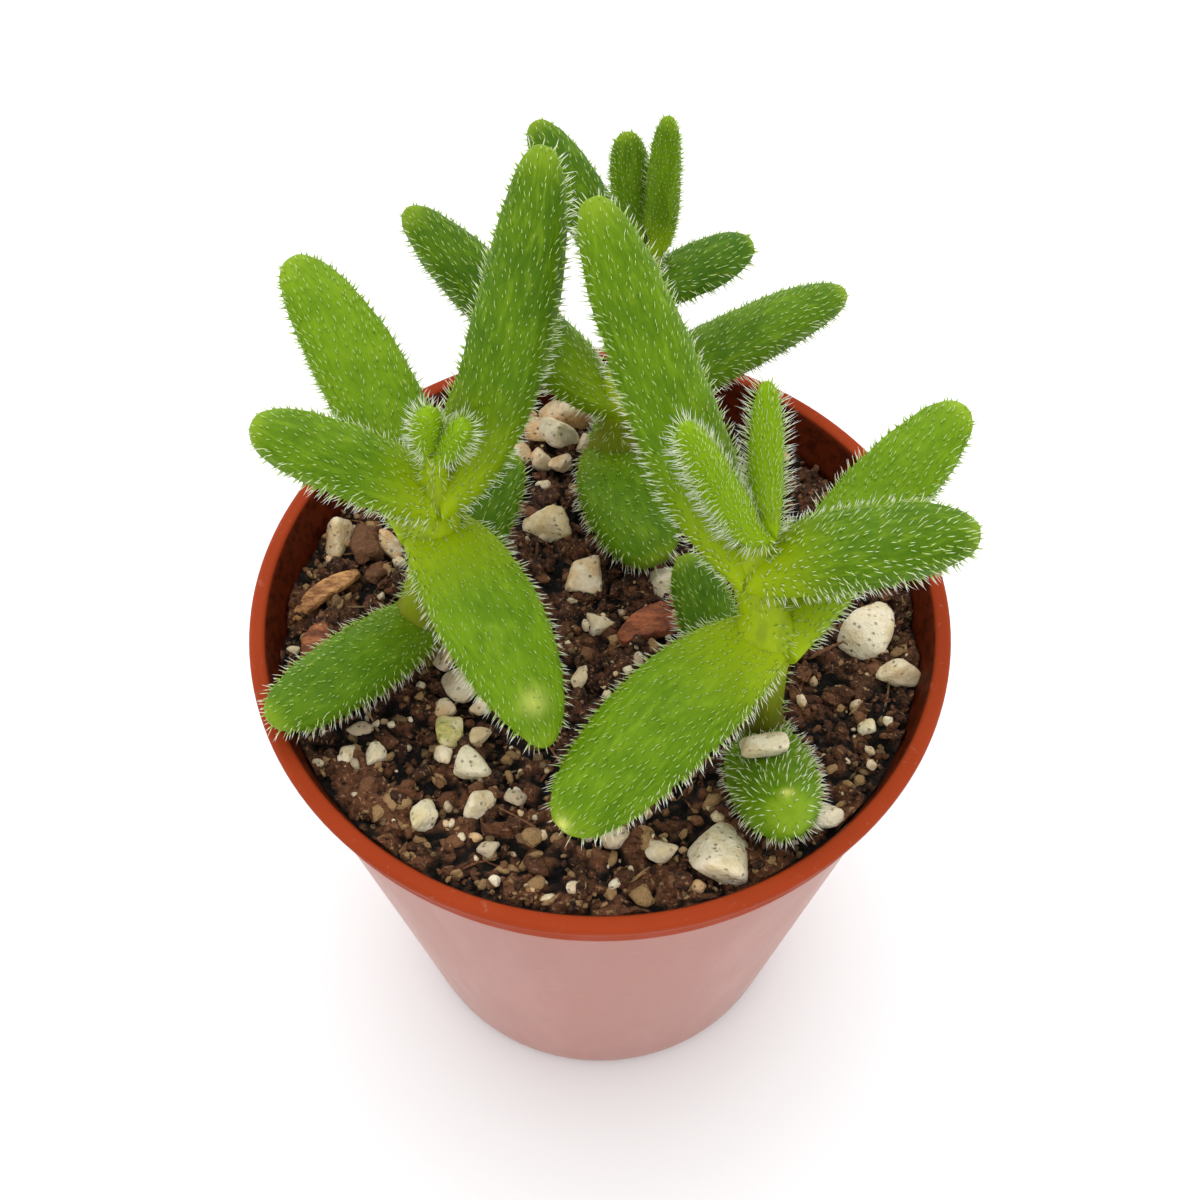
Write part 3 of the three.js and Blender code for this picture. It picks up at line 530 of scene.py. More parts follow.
def catmull_rom(points, per_span):
    """Places on a centripetal curve through the points, evenly many in each span."""
    points = np.asarray(points, float)
    ends = np.vstack([2 * points[0] - points[1], points, 2 * points[-1] - points[-2]])
    places, knots = [], []
    for i in range(1, len(ends) - 2):
        a, b, c, d = ends[i - 1 : i + 3]
        t = [0.0]
        for p, q in ((a, b), (b, c), (c, d)):
            t.append(t[-1] + max(1e-4, np.linalg.norm(q - p) ** 0.5))
        u = np.linspace(t[1], t[2], per_span, endpoint=i == len(ends) - 3)[:, None]
        ab = between(u, t[0], t[1], a, b)
        bc = between(u, t[1], t[2], b, c)
        cd = between(u, t[2], t[3], c, d)
        abc = between(u, t[0], t[2], ab, bc)
        bcd = between(u, t[1], t[3], bc, cd)
        places.append(between(u, t[1], t[2], abc, bcd))
        knots.append(i - 1 + (u[:, 0] - t[1]) / (t[2] - t[1]))
    return np.vstack(places), np.concatenate(knots)


def make_stem(name, shoot, materials, seed):
    foot = np.array(shoot["foot"], float)
    ats = [np.array(shoot[key]["at"], float) for key in PAIRS]
    end = ats[3] - unit(ats[3] - ats[2]) * GAP
    line = [foot - [0, 0, STEM_DEPTH], foot, *ats[:3], end]
    radii = [STEM_FOOT_RADIUS] * 2 + [shoot[key]["stem"] for key in PAIRS[:3]] + [STEM_TIP_RADIUS]
    centres, knots = catmull_rom(line, STEM_SPAN)
    radius = np.interp(knots, range(6), radii)
    for at in ats[:3]:
        away = np.linalg.norm(centres - at, axis=1)
        radius = radius + NODE_SWELL * np.exp(-((away / NODE_REACH) ** 2))
    tangents = unit(np.gradient(centres, axis=0))
    side = unit(np.cross(tangents, [0.13, 1.0, 0.07]))
    other = np.cross(tangents, side)
    circle = circles(side, other, around(STEM_SIDES))
    normals = circle.reshape(-1, 3)
    points = (centres[:, None] + circle * radius[:, None, None]).reshape(-1, 3)
    points = points + normals * (0.10 * octaves(points, 1.4, seed))[:, None]
    tip = centres[-1] + tangents[-1] * 0.4
    above = np.clip((points[:, 2] - soil_height(points[:, 0], points[:, 1])) / STEM_TONE_HEIGHT, 0, 1)
    shape = Shape()
    shape.add(
        np.vstack([points, centres[0], tip]), capped_tube(len(centres), STEM_SIDES), 0,
        height=np.concatenate([above, [0, 1]]),
    )
    rng = np.random.default_rng(seed)
    at = rng.uniform(STEM_SPAN, len(centres) - 2, STEM_BRISTLES)
    k = at.astype(int)
    turn = rng.uniform(0, 2 * math.pi, STEM_BRISTLES)
    out = side[k] * np.cos(turn)[:, None] + other[k] * np.sin(turn)[:, None]
    roots = centres[k] + (centres[k + 1] - centres[k]) * (at - k)[:, None] + out * radius[k][:, None]
    clear = roots[:, 2] > soil_height(roots[:, 0], roots[:, 1]) + 0.4
    lengths = STEM_BRISTLE_LENGTH * rng.uniform(0.6, 1.1, STEM_BRISTLES)
    add_bristles(
        shape, roots[clear], out[clear], tangents[k][clear], lengths[clear], 1, rng,
        lean=0.1, thickness=0.6, pale=0.4,
    )
    return shape.build(name, materials)


# The pot: a turned profile with a groove round its foot and a rolled lip.

POT_PROFILE = [
    (0.0, 0.0),
    (GROOVE_INNER, 0.0),
    (GROOVE_INNER + FOOT_BEVEL, GROOVE_DEPTH),
    (GROOVE_OUTER - FOOT_BEVEL, GROOVE_DEPTH),
    (GROOVE_OUTER, 0.0),
    (BASE_RADIUS - FOOT_BEVEL, 0.0),
    (outer_radius(FOOT_BEVEL), FOOT_BEVEL),
    (NECK_RADIUS, COLLAR_BOTTOM),
    (COLLAR_RADIUS, COLLAR_BOTTOM + LIP_ROUND),
    (COLLAR_RADIUS, POT_HEIGHT - BEAD_HEIGHT),
    (RIM_RADIUS, POT_HEIGHT - BEAD_HEIGHT + LIP_ROUND),
    (RIM_RADIUS, POT_HEIGHT - LIP_ROUND),
    (RIM_RADIUS - LIP_ROUND, POT_HEIGHT),
    (RIM_RADIUS - BEAD_WIDTH + LIP_ROUND, POT_HEIGHT),
    (RIM_RADIUS - BEAD_WIDTH, POT_HEIGHT - LIP_ROUND),
    (inner_radius(COLLAR_BOTTOM), COLLAR_BOTTOM),
    (inner_radius(FLOOR_TOP + FOOT_BEVEL), FLOOR_TOP + FOOT_BEVEL),
    (inner_radius(FLOOR_TOP) - FOOT_BEVEL, FLOOR_TOP),
    (0.0, FLOOR_TOP),
]


def rounded_profile(corners, round_by=0.35, steps=4, longest=1.6):
    """The profile with its corners rounded and its long sides divided."""
    corners = [np.array(c) for c in corners]
    line = [corners[0]]
    for before, here, after in zip(corners, corners[1:], corners[2:]):
        a, b = before - here, after - here
        cut = min(round_by, 0.45 * np.linalg.norm(a), 0.45 * np.linalg.norm(b))
        p, q = here + unit(a) * cut, here + unit(b) * cut
        for t in np.linspace(0, 1, steps):
            line.append((1 - t) ** 2 * p + 2 * (1 - t) * t * here + t**2 * q)
    line.append(corners[-1])
    divided = [line[0]]
    for p, q in zip(line, line[1:]):
        pieces = max(1, math.ceil(np.linalg.norm(q - p) / longest))
        divided += [p + (q - p) * k / pieces for k in range(1, pieces + 1)]
    return np.array(divided)


def make_pot(body, rim):
    """The turned pot, with the rim's cleaner plastic on its collar, lip and inside."""
    line = rounded_profile(POT_PROFILE)
    inner = line[1:-1]
    r, z = np.repeat(inner[:, 0], POT_SEGMENTS), np.repeat(inner[:, 1], POT_SEGMENTS)
    a = np.tile(around(POT_SEGMENTS), len(inner))
    points = np.stack([r * np.cos(a), r * np.sin(a), z], 1)
    shape = Shape()
    middle = [[0, 0, line[0][1]], [0, 0, line[-1][1]]]
    top = int(np.argmax(inner[:, 1] - 0.01 * inner[:, 0]))
    # The inside value darkens the inside wall, from just below the lip downward, with painted shade and
    # soil stain.
    inside = np.repeat(smooth((np.arange(len(inner)) - top - 2) / 3.0), POT_SEGMENTS)
    inside = np.concatenate([inside, [0, 1]])
    shape.add(np.vstack([points, middle]), capped_tube(len(inner), POT_SEGMENTS), inside=inside)
    pot = shape.build("flower_pot", [body, rim])
    for face in pot.data.polygons:
        r, z = math.hypot(*face.center[:2]) / MM, face.center[2] / MM
        face.material_index = int(z > COLLAR_BOTTOM or r < outer_radius(z) - POT_WALL / 2)
    hole_circle = (GROOVE_INNER + GROOVE_OUTER) / 2
    drills = []
    for i in range(DRAIN_HOLES):
        turn = 2 * math.pi * (i + 0.5) / DRAIN_HOLES
        at = (hole_circle * math.cos(turn) * MM, hole_circle * math.sin(turn) * MM, FLOOR_TOP / 2 * MM)
        bpy.ops.mesh.primitive_cylinder_add(
            vertices=32, radius=DRAIN_HOLE_RADIUS * MM, depth=2 * FLOOR_TOP * MM, location=at
        )
        drills.append(bpy.context.object)
    for drill in drills:
        cut = pot.modifiers.new("drain", "BOOLEAN")
        cut.operation, cut.object, cut.solver = "DIFFERENCE", drill, "EXACT"
    bake_modifiers(pot)
    for drill in drills:
        bpy.data.objects.remove(drill, do_unlink=True)
    return pot


def bake_modifiers(piece):
    """Keeps what the modifiers make as the piece's own mesh."""
    shown = piece.evaluated_get(bpy.context.evaluated_depsgraph_get())
    mesh = bpy.data.meshes.new_from_object(shown)
    piece.modifiers.clear()
    piece.data = mesh


# Stones: a few flat faces cut from a ball, worn and pitted.


def ball(detail):
    """Corners and faces of a ball of diameter 1."""
    bpy.ops.mesh.primitive_ico_sphere_add(subdivisions=detail, radius=0.5)
    piece = bpy.context.object
    points = np.array([v.co[:] for v in piece.data.vertices])
    faces = np.array([f.vertices[:] for f in piece.data.polygons])
    bpy.data.objects.remove(piece, do_unlink=True)
    return points, faces


def stone_points(directions, rng, flats, pits, sharpness=9.0):
    """The ball's corners moved to a many-sided lump that fills a box of side 1."""
    facings = unit(rng.normal(size=(flats, 3)))
    away = rng.uniform(0.72, 1.0, flats)
    toward = np.maximum(unit(directions) @ facings.T, 0.02) / away
    radius = 1 / (np.sum(toward**sharpness, 1) ** (1 / sharpness))
    radius = np.minimum(radius, 1.5)
    points = unit(directions) * radius[:, None]
    seed = int(rng.integers(1, 10**6))
    points = points * (1 + pits * octaves(points, 0.8, seed, 4))[:, None]
    low, high = points.min(0), points.max(0)
    return (points - (low + high) / 2) / (high - low)


def place_lump(points, size, turn, centre):
    """A lump at its size, turned by some degrees about the upright and moved to its place."""
    c, s = math.cos(math.radians(turn)), math.sin(math.radians(turn))
    x, y, z = (points * size).T
    return np.stack([x * c - y * s, x * s + y * c, z], 1) + centre


def one_stone(x, y, width, depth, height, turn, **look):
    return dict(at=(x, y), size=(width, depth, height), turn=turn, **look)


PUMICE = [
    one_stone(-1.3, 22.9, 4.4, 2.8, 3.4, 8, lift=1.2, warm=0.8, shade=0.3),
    one_stone(-4.4, 10.4, 3.5, 4.1, 3.0, 30, algae=0.2, warm=0.4, shade=0.4),
    one_stone(-1.2, 4.9, 3.3, 3.8, 3.0, -20, warm=0.45, shade=0.3),
    one_stone(-0.2, 0.0, 2.1, 2.2, 2.0, 60, shade=0.6),
    one_stone(5.2, 4.5, 3.0, 3.0, 2.6, 10, shade=0.25, algae=0.15),
    one_stone(21.1, -0.6, 4.6, 5.0, 3.6, 0, shade=0.0),
    one_stone(23.3, -4.8, 3.3, 2.9, 2.4, 35, warm=0.3, shade=0.2),
    one_stone(12.0, -13.9, 3.7, 2.1, 1.9, 8, lift=5.15, algae=0.1, shade=0.0, seed=607),
    one_stone(8.9, -21.0, 5.2, 5.2, 4.4, 40, shade=0.2),
    one_stone(16.6, -17.4, 2.6, 2.8, 2.6, 15, shade=0.1),
    one_stone(4.5, -20.4, 1.9, 2.3, 2.0, 70, shade=0.3),
    one_stone(1.2, -19.0, 3.0, 2.4, 2.2, -15, warm=0.2, shade=0.1),
    one_stone(-13.0, -17.4, 2.1, 2.9, 2.2, -25, algae=0.2, shade=0.1),
    one_stone(-8.9, -16.3, 1.9, 3.4, 2.2, -28, shade=0.1),
    one_stone(-11.1, -2.5, 2.1, 2.5, 2.2, 50, shade=0.7),
    one_stone(-10.8, -5.9, 3.0, 3.0, 2.6, 12, shade=0.65),
    one_stone(-11.6, -10.2, 2.7, 2.7, 2.3, -40, algae=0.8, warm=0.4, shade=0.4),
    one_stone(-9.8, -13.2, 2.6, 3.0, 2.4, 25, algae=0.35, shade=0.2),
    one_stone(-21.8, 9.2, 2.2, 4.2, 3.0, -20, warm=0.35, shade=0.1),
    one_stone(-17.3, 8.3, 1.8, 3.4, 2.6, 25, warm=0.8, shade=0.2),
    one_stone(-3.5, 19.9, 3.4, 2.7, 3.2, 10, lift=1.2, shade=0.0),
    one_stone(-5.1, 18.0, 2.3, 2.2, 2.0, 15, warm=0.8, shade=0.3),
    one_stone(-17.1, -12.1, 1.9, 1.7, 1.6, 20, shade=0.1),
]
PUMICE_SHOWING = 0.62
FIRST_PUMICE_SEED = 501

# Smaller stones: x, y, width, depth, shade and warmth.
SMALL_STONES = [
    (-19.1, -12.4, 1.25, 1.95, 0.1, 0.1), (-17.4, -14.8, 1.3, 1.2, 0.9, 0.0),
    (-16.1, -15.9, 1.5, 0.9, 0.6, 0.0), (-21.3, -12.8, 0.9, 0.8, 0.7, 0.2),
    (-7.6, -23.0, 0.9, 0.9, 0.0, 0.0), (-1.7, -23.5, 1.5, 1.2, 0.4, 0.7),
    (-3.7, -24.0, 1.3, 0.6, 0.3, 0.3), (-6.3, -16.1, 1.7, 1.3, 0.8, 0.0),
    (-8.2, -20.2, 1.6, 1.4, 0.8, 0.1), (20.4, -9.6, 1.5, 1.3, 0.0, 0.0), (22.1, -9.1, 0.8, 0.8, 0.2, 0.0),
    (20.5, -13.0, 0.9, 0.8, 0.5, 0.9), (20.0, 3.2, 0.8, 0.9, 0.0, 0.0), (13.4, -5.9, 0.8, 1.6, 0.1, 0.2),
    (-24.2, -2.5, 1.1, 0.8, 0.6, 0.0), (-18.3, -10.0, 2.1, 1.2, 0.9, 0.1),
    (-1.6, -5.0, 1.3, 2.4, 0.4, 0.2), (-12.3, -3.4, 1.9, 2.2, 0.3, 0.4), (-9.2, -7.6, 1.6, 1.8, 0.4, 0.3),
    (-11.9, -8.0, 1.7, 1.6, 0.6, 0.6), (-9.2, -10.6, 1.7, 1.8, 0.4, 0.2),
    (-11.9, -12.4, 1.5, 1.5, 0.3, 0.3), (-5.5, 20.7, 2.2, 2.6, 0.3, 0.9),
    (-6.6, 18.4, 1.8, 2.2, 0.2, 0.5), (-1.4, 19.6, 1.5, 2.0, 0.2, 0.6), (-3.4, 17.3, 2.2, 1.6, 0.5, 0.9),
    (-6.4, 22.6, 2.0, 1.8, 0.5, 1.0), (-3.6, 22.6, 3.6, 2.8, 0.1, 1.0), (5.6, 7.9, 0.9, 1.4, 0.2, 0.2),
    (15.8, 18.1, 1.2, 1.0, 0.4, 0.8), (-4.8, 14.6, 1.4, 1.2, 0.3, 0.3), (18.4, 9.0, 1.0, 0.8, 0.5, 0.5),
]


def make_pumice(material):
    base = ball(4)
    for index, stone in enumerate(PUMICE, 1):
        rng = np.random.default_rng(stone.get("seed", FIRST_PUMICE_SEED + index - 1))
        points = stone_points(base[0], rng, flats=14, pits=0.07)
        size = np.array(stone["size"])
        lift = stone.get("lift", (PUMICE_SHOWING - 0.5) * size[2])
        shape = Shape()
        centre = np.array([*stone["at"], soil_height(*stone["at"]) + lift])
        points = place_lump(points, size, stone["turn"], centre)
        tints = {key: stone.get(key, 0.0) for key in ("algae", "warm", "shade")}
        shape.add(points, [base[1]], 0, **tints)
        piece = shape.build(f"stone_{index:02d}", [material])
        place(piece, "pumice", f"pumice_{index:02d}")


# Bark: short strips bowed up along their middle, with torn edges.

BARK = [
    dict(at=(-22.2, 3.2), length=6.6, width=1.8, thickness=0.6, curl=0.9, turn=32, tilt=-6, red=0.1),
    dict(at=(-22.3, -1.4), length=3.8, width=2.6, thickness=0.7, curl=0.4, turn=40, tilt=4, red=0.85),
    dict(at=(4.6, 0.4), length=7.0, width=3.0, thickness=1.1, curl=0.7, turn=14, tilt=5, red=1.0),
]
BARK_ALONG = 48
BARK_ROUND = 36


def make_bark(chip, name, node, material, seed):
    """A strip that tapers to both ends, with torn long edges and a raised grain."""
    s = np.repeat(np.linspace(-1, 1, BARK_ALONG), BARK_ROUND)
    a = np.tile(around(BARK_ROUND), BARK_ALONG)
    square = np.maximum(np.abs(np.cos(a)), np.abs(np.sin(a))) ** 0.7
    taper = (1 - 0.62 * s * s) * (1 - np.maximum(0, (np.abs(s) - 0.94) / 0.06) * 0.35)
    x = s * chip["length"] / 2
    flat = np.stack([x, 0 * x, 0 * x], 1)
    torn = 1 + 0.16 * octaves(flat + [0, seed, 0], 1.1, seed, 3) * np.sign(np.cos(a))
    y = np.cos(a) / square * chip["width"] / 2 * taper * torn + 0.25 * chip["width"] * s
    z = chip["curl"] * (1 - s * s) + np.sin(a) / square * chip["thickness"] / 2
    grain = np.stack([x * 0.25, y * 2.2, z], 1)
    z = z + 0.14 * octaves(grain, 1.0, seed + 5, 3)
    c, d = math.cos(math.radians(chip["tilt"])), math.sin(math.radians(chip["tilt"]))
    points = np.stack([x * c + z * d, y, z * c - x * d], 1)
    centre = np.array([*chip["at"], soil_height(*chip["at"]) + 0.1])
    points = place_lump(points, 1.0, chip["turn"], centre)
    middles = np.stack([points[:BARK_ROUND].mean(0), points[-BARK_ROUND:].mean(0)])
    shape = Shape()
    shape.add(np.vstack([points, middles]), capped_tube(BARK_ALONG, BARK_ROUND), 0, red=chip["red"])
    place(shape.build(name, [material]), "bark", node)


# Soil: a lumpy surface with crumbs, fibres and pale grit pressed into it.

SOIL_RINGS = 130
SOIL_TURNS = 600
CRUMBS = 3000
EDGE_CRUMBS = 700
GRIT = 340
FIBRES = 170
CRUMB_FORMS = 30

# Larger clods and husks: x, y, width, depth, height, turn and tone.
CLODS = [
    (-19.3, 8.6, 2.9, 5.0, 2.6, 15, 0.83), (-18.2, 5.4, 2.2, 2.4, 1.8, -20, 0.8),
    (-4.6, 13.4, 2.8, 2.2, 1.4, 10, 0.45), (-16.0, 4.6, 2.0, 1.6, 1.4, 30, 0.3),
    (-21.5, 5.9, 1.8, 2.4, 1.5, 10, 0.4), (23.6, -2.3, 1.7, 1.2, 0.7, 20, 0.97),
    (22.8, 3.3, 1.6, 0.9, 0.6, -30, 0.98), (14.0, 20.2, 2.6, 1.8, 1.4, 0, 0.66),
    (17.6, 16.0, 2.2, 1.6, 1.3, 40, 0.55), (8.0, 8.2, 2.0, 1.4, 1.2, 15, 0.72),
    (-4.6, -21.6, 2.2, 1.6, 1.3, -15, 0.6), (1.6, -22.6, 1.9, 1.4, 1.1, 25, 0.58),
    (-13.6, -14.0, 2.1, 1.6, 1.2, 10, 0.25), (18.6, -6.6, 2.4, 1.9, 1.4, -30, 0.6),
    (16.0, -2.2, 2.0, 1.8, 1.3, 20, 0.5),
]


def soil_edge(angle):
    """How far out the soil reaches, a small gap short of the pot."""
    c, s = np.cos(angle), np.sin(angle)
    return mouth_radius(soil_height(SOIL_RADIUS * c, SOIL_RADIUS * s)) - SOIL_GAP


def soil_relief(points):
    """How much the crumbs of the soil lift its surface, from place to place."""
    clods = np.abs(octaves(points, 2.6, 71, 2))
    crumbs = 1 - np.abs(noise(points, 0.9, 75))
    return 1.1 * clods + 0.35 * crumbs + 0.3 * noise(points, 0.42, 78) - 0.7


def soil_surface(x, y):
    """Height of the soil at some places, with its crumbs."""
    return soil_height(x, y) + soil_relief(np.stack([x, y, 0 * x], 1))


def dryness(x, y):
    """How pale and dry the soil has turned: at the front most, and a little at the left."""
    return np.maximum(smooth((-9 - y) / 6), 0.7 * smooth((-12 - x) / 6))


def make_soil(material):
    """A closed block: a middle corner, the rings of the top, two loops down the side and the floor."""
    share = np.sqrt(np.arange(1, SOIL_RINGS + 1) / SOIL_RINGS)
    share = 0.35 * share + 0.65 * np.arange(1, SOIL_RINGS + 1) / SOIL_RINGS
    angles = around(SOIL_TURNS)
    r = (share[:, None] * soil_edge(angles)[None]).ravel()
    a = np.tile(angles, SOIL_RINGS)
    x, y = r * np.cos(a), r * np.sin(a)
    top = np.stack([x, y, soil_surface(x, y)], 1)
    bottom, shoulder = FLOOR_TOP + GAP, COLLAR_BOTTOM - SHOULDER_DROP
    rounds = [(inner_radius(shoulder), shoulder), (inner_radius(bottom) - FOOT_BEVEL, bottom)]
    circle = np.stack([np.cos(angles), np.sin(angles)], 1)
    sides = [np.hstack([circle * (reach - SOIL_GAP), np.full((SOIL_TURNS, 1), z)]) for reach, z in rounds]
    points = np.vstack([[[0, 0, soil_height(0, 0)]], top, *sides, [[0, 0, bottom]]])
    fan = [[0, 1 + j, 1 + (j + 1) % SOIL_TURNS] for j in range(SOIL_TURNS)]
    tube = (tube_faces(SOIL_RINGS + 2, SOIL_TURNS) + 1)[:, ::-1]
    under = 1 + (SOIL_RINGS + 1) * SOIL_TURNS
    end = len(points) - 1
    floor = [[end, under + (j + 1) % SOIL_TURNS, under + j] for j in range(SOIL_TURNS)]
    shape = Shape()
    # The relief value is low in the soil's hollows, and the peat's colour paints shade there.
    relief = soil_relief(points * [1, 1, 0])
    tone = 0.25 + 0.4 * dryness(points[:, 0], points[:, 1])
    shape.add(points, [fan + floor, tube], 0, tone=tone, relief=smooth((relief + 0.27) / 0.5))
    place(shape.build("soil_bed", [material]), "soil", "soil")


def soil_places(rng, count, reach=0.985, start=0.0):
    """Places on the soil's surface between two shares of its radius."""
    r = SOIL_RADIUS * np.sqrt(rng.uniform(start**2, reach**2, count))
    a = rng.uniform(0, 2 * math.pi, count)
    x, y = r * np.cos(a), r * np.sin(a)
    return x, y, soil_surface(x, y)


def make_litter(peat, stone):
    """Crumbs, small stones and pale grit, and fibres that lie on the soil."""
    rng = np.random.default_rng(91)
    coarse, fine, rounder = ball(1), ball(2), ball(3)
    crumbs = Shape()
    add_crumbs(crumbs, rng, coarse, fine)
    add_clods(crumbs, rng, rounder)
    place(crumbs.build("soil_crumbs", [peat]), "soil")
    grit = Shape()
    add_grit(grit, rng, fine)
    add_small_stones(grit, rng, rounder)
    place(grit.build("pale_grit", [stone]), "pumice")
    fibres = Shape()
    x, y, z = soil_places(rng, FIBRES, 0.93)
    for i in range(FIBRES):
        add_fibre(fibres, rng, np.array([x[i], y[i], z[i] + 0.15]))
    place(fibres.build("soil_fibres", [peat]), "soil")


def add_crumbs(shape, rng, coarse, fine):
    """Crumbs all over the soil, and small ones that fill the edge beside the pot."""
    x, y, z = soil_places(rng, CRUMBS, 0.985)
    rim_x, rim_y, rim_z = soil_places(rng, EDGE_CRUMBS, 1.0, 0.95)
    x, y, z = np.concatenate([x, rim_x]), np.concatenate([y, rim_y]), np.concatenate([z, rim_z])
    coarse_forms = [stone_points(coarse[0], rng, flats=6, pits=0.24) for _ in range(CRUMB_FORMS)]
    fine_forms = [stone_points(fine[0], rng, flats=6, pits=0.24) for _ in range(CRUMB_FORMS)]
    for i in range(CRUMBS + EDGE_CRUMBS):
        size = 0.35 + (1.0 if i < CRUMBS else 0.4) * rng.random() ** 2.2
        forms, faces = (fine_forms, fine[1]) if size > 0.7 else (coarse_forms, coarse[1])
        points = forms[rng.integers(CRUMB_FORMS)]
        scale = size * rng.uniform(0.5, 1.35, 3) * [1.15, 1.0, 0.75]
        centre = np.array([x[i], y[i], z[i] + 0.1 * size])
        tone = min(0.999, rng.random() + 0.26 * dryness(x[i], y[i]))
        points = place_lump(points, scale, rng.uniform(0, 360), centre)
        shape.add(points, [faces], 0, tone=tone, relief=0.8)


def add_clods(shape, rng, rounder):
    for x, y, width, depth, height, turn, tone in CLODS:
        points = stone_points(rounder[0], rng, flats=8, pits=0.42)
        centre = np.array([x, y, soil_height(x, y) + 0.25 * height])
        points = place_lump(points, np.array([width, depth, height]), turn, centre)
        shape.add(points, [rounder[1]], 0, tone=tone, relief=0.7)


def add_grit(shape, rng, fine):
    x, y, z = soil_places(rng, GRIT, 0.975)
    for i in range(GRIT):
        size = 0.28 + 0.9 * rng.random() ** 2.5
        points = stone_points(fine[0], rng, flats=9, pits=0.08)
        scale = size * rng.uniform(0.75, 1.2, 3)
        points = place_lump(points, scale, rng.uniform(0, 360), np.array([x[i], y[i], z[i] + 0.2 * size]))
        shape.add(points, [fine[1]], 0, algae=0.0, shade=rng.random(), warm=rng.random() ** 2)


def add_small_stones(shape, rng, rounder):
    for x, y, width, depth, shade, warm in SMALL_STONES:
        points = stone_points(rounder[0], rng, flats=12, pits=0.08)
        height = 0.8 * min(width, depth)
        centre = np.array([x, y, soil_height(x, y) + 0.3 * height + 0.2])
        points = place_lump(points, np.array([width, depth, height]), rng.uniform(-15, 15), centre)
        shape.add(points, [rounder[1]], 0, algae=0.0, shade=shade, warm=warm)


def add_fibre(shape, rng, centre):
    """A bent root fibre, which stays inside the pot and on the soil."""
    steps, sides = 9, 5
    length = rng.uniform(1.2, 4.2)
    radius = rng.uniform(0.05, 0.16)
    t = np.linspace(-0.5, 0.5, steps)
    along = heading(rng.uniform(0, 360), rng.uniform(-8, 8))
    bend = heading(rng.uniform(0, 360), 20) * rng.uniform(0.1, 0.35) * length
    line = centre + np.outer(t * length, along) + np.outer(0.25 - t**2, bend)
    inside = np.hypot(line[:, 0], line[:, 1])
    line[:, :2] *= np.minimum(1, 0.965 * SOIL_RADIUS / np.maximum(inside, 1e-6))[:, None]
    line[:, 2] = np.maximum(line[:, 2], soil_surface(line[:, 0], line[:, 1]) - 0.1)
    tangent = unit(np.gradient(line, axis=0))
    side = unit(np.cross(tangent, [0.1, 0.05, 1.0]))
    other = np.cross(tangent, side)
    width = radius * np.sqrt(np.maximum(0.1, 1 - (2 * t) ** 4))
    circle = circles(side, other, around(sides))
    points = (line[:, None] + circle * width[:, None, None]).reshape(-1, 3)
    last = (steps - 1) * sides
    caps = [list(range(sides))[::-1], [last + j for j in range(sides)]]
    tone = 0.3 + 0.7 * rng.random()
    shape.add(points, [tube_faces(steps, sides), caps], 0, tone=tone, relief=1.0)


# Materials. Each is made of nodes only, from the piece's own coordinates and values.


class Nodes:
    """A short way to write node materials."""

    def __init__(self, name):
        self.material = bpy.data.materials.new(name)
        self.material.use_nodes = True
        self.tree = self.material.node_tree
        self.shader = self.tree.nodes["Principled BSDF"]
        self.coordinates = self.new("TexCoord").outputs["Object"]

    def new(self, kind, **inputs):
        """A node with these values or links in its inputs."""
        node = self.tree.nodes.new("ShaderNode" + kind)
        for name, value in inputs.items():
            self.link(value, node.inputs[name])
        return node

    def link(self, value, socket):
        if isinstance(value, bpy.types.NodeSocket):
            self.tree.links.new(value, socket)
        else:
            socket.default_value = value

    def set(self, name, value):
        self.link(value, self.shader.inputs[name])

    def value(self, name):
        node = self.new("Attribute")
        node.attribute_type, node.attribute_name = "GEOMETRY", name
        return node.outputs["Fac"]

    def math(self, operation, a, b):
        node = self.new("Math")
        node.operation = operation
        self.link(a, node.inputs[0])
        self.link(b, node.inputs[1])
        return node.outputs[0]

    def times(self, a, b):
        return self.math("MULTIPLY", a, b)

    def range(self, value, low, high, to_low=0.0, to_high=1.0):
        node = self.new("MapRange")
        node.interpolation_type = "SMOOTHSTEP"
        for socket, number in zip(list(node.inputs)[:5], (value, low, high, to_low, to_high)):
            self.link(number, socket)
        return node.outputs[0]

    def scaled(self, x, y, z):
        return self.new("Mapping", Vector=self.coordinates, Scale=(x, y, z)).outputs[0]

    def noise(self, per_mm, detail, roughness, vector=None):
        vector = vector or self.coordinates
        node = self.new("TexNoise", Vector=vector, Scale=per_mm / MM, Detail=detail, Roughness=roughness)
        return node.outputs["Fac"]

    def cells(self, per_mm):
        return self.new("TexVoronoi", Vector=self.coordinates, Scale=per_mm / MM).outputs["Distance"]

    def mix(self, share, a, b):
        node = self.new("Mix")
        node.data_type = "RGBA"
        self.link(share, node.inputs["Factor"])
        for socket, colour in zip(node.inputs[6:8], (a, b)):
            self.link(colour if isinstance(colour, bpy.types.NodeSocket) else srgb(*colour), socket)
        return node.outputs[2]

    def layers(self, base, *rows):
        """The base with the colours of the rows over it, one after the other."""
        for row in rows:
            base = self.over(base, *row)
        return base

    def over(self, base, colour, value, low, high, share=1.0):
        """The base, with a share of a colour over it where a value goes from low to high."""
        return self.mix(self.range(value, low, high, 0, share), base, colour)

    def combine(self, *names):
        node = self.new("CombineXYZ")
        for name, socket in zip(names, node.inputs):
            self.link(self.value(name), socket)
        return node.outputs[0]

    def height(self):
        split = self.new("SeparateXYZ", Vector=self.coordinates)
        return self.math("DIVIDE", split.outputs[2], MM)

    def bump(self, height, depth_mm, strength):
        node = self.new("Bump", Height=height, Distance=depth_mm * MM, Strength=strength)
        self.set("Normal", node.outputs[0])


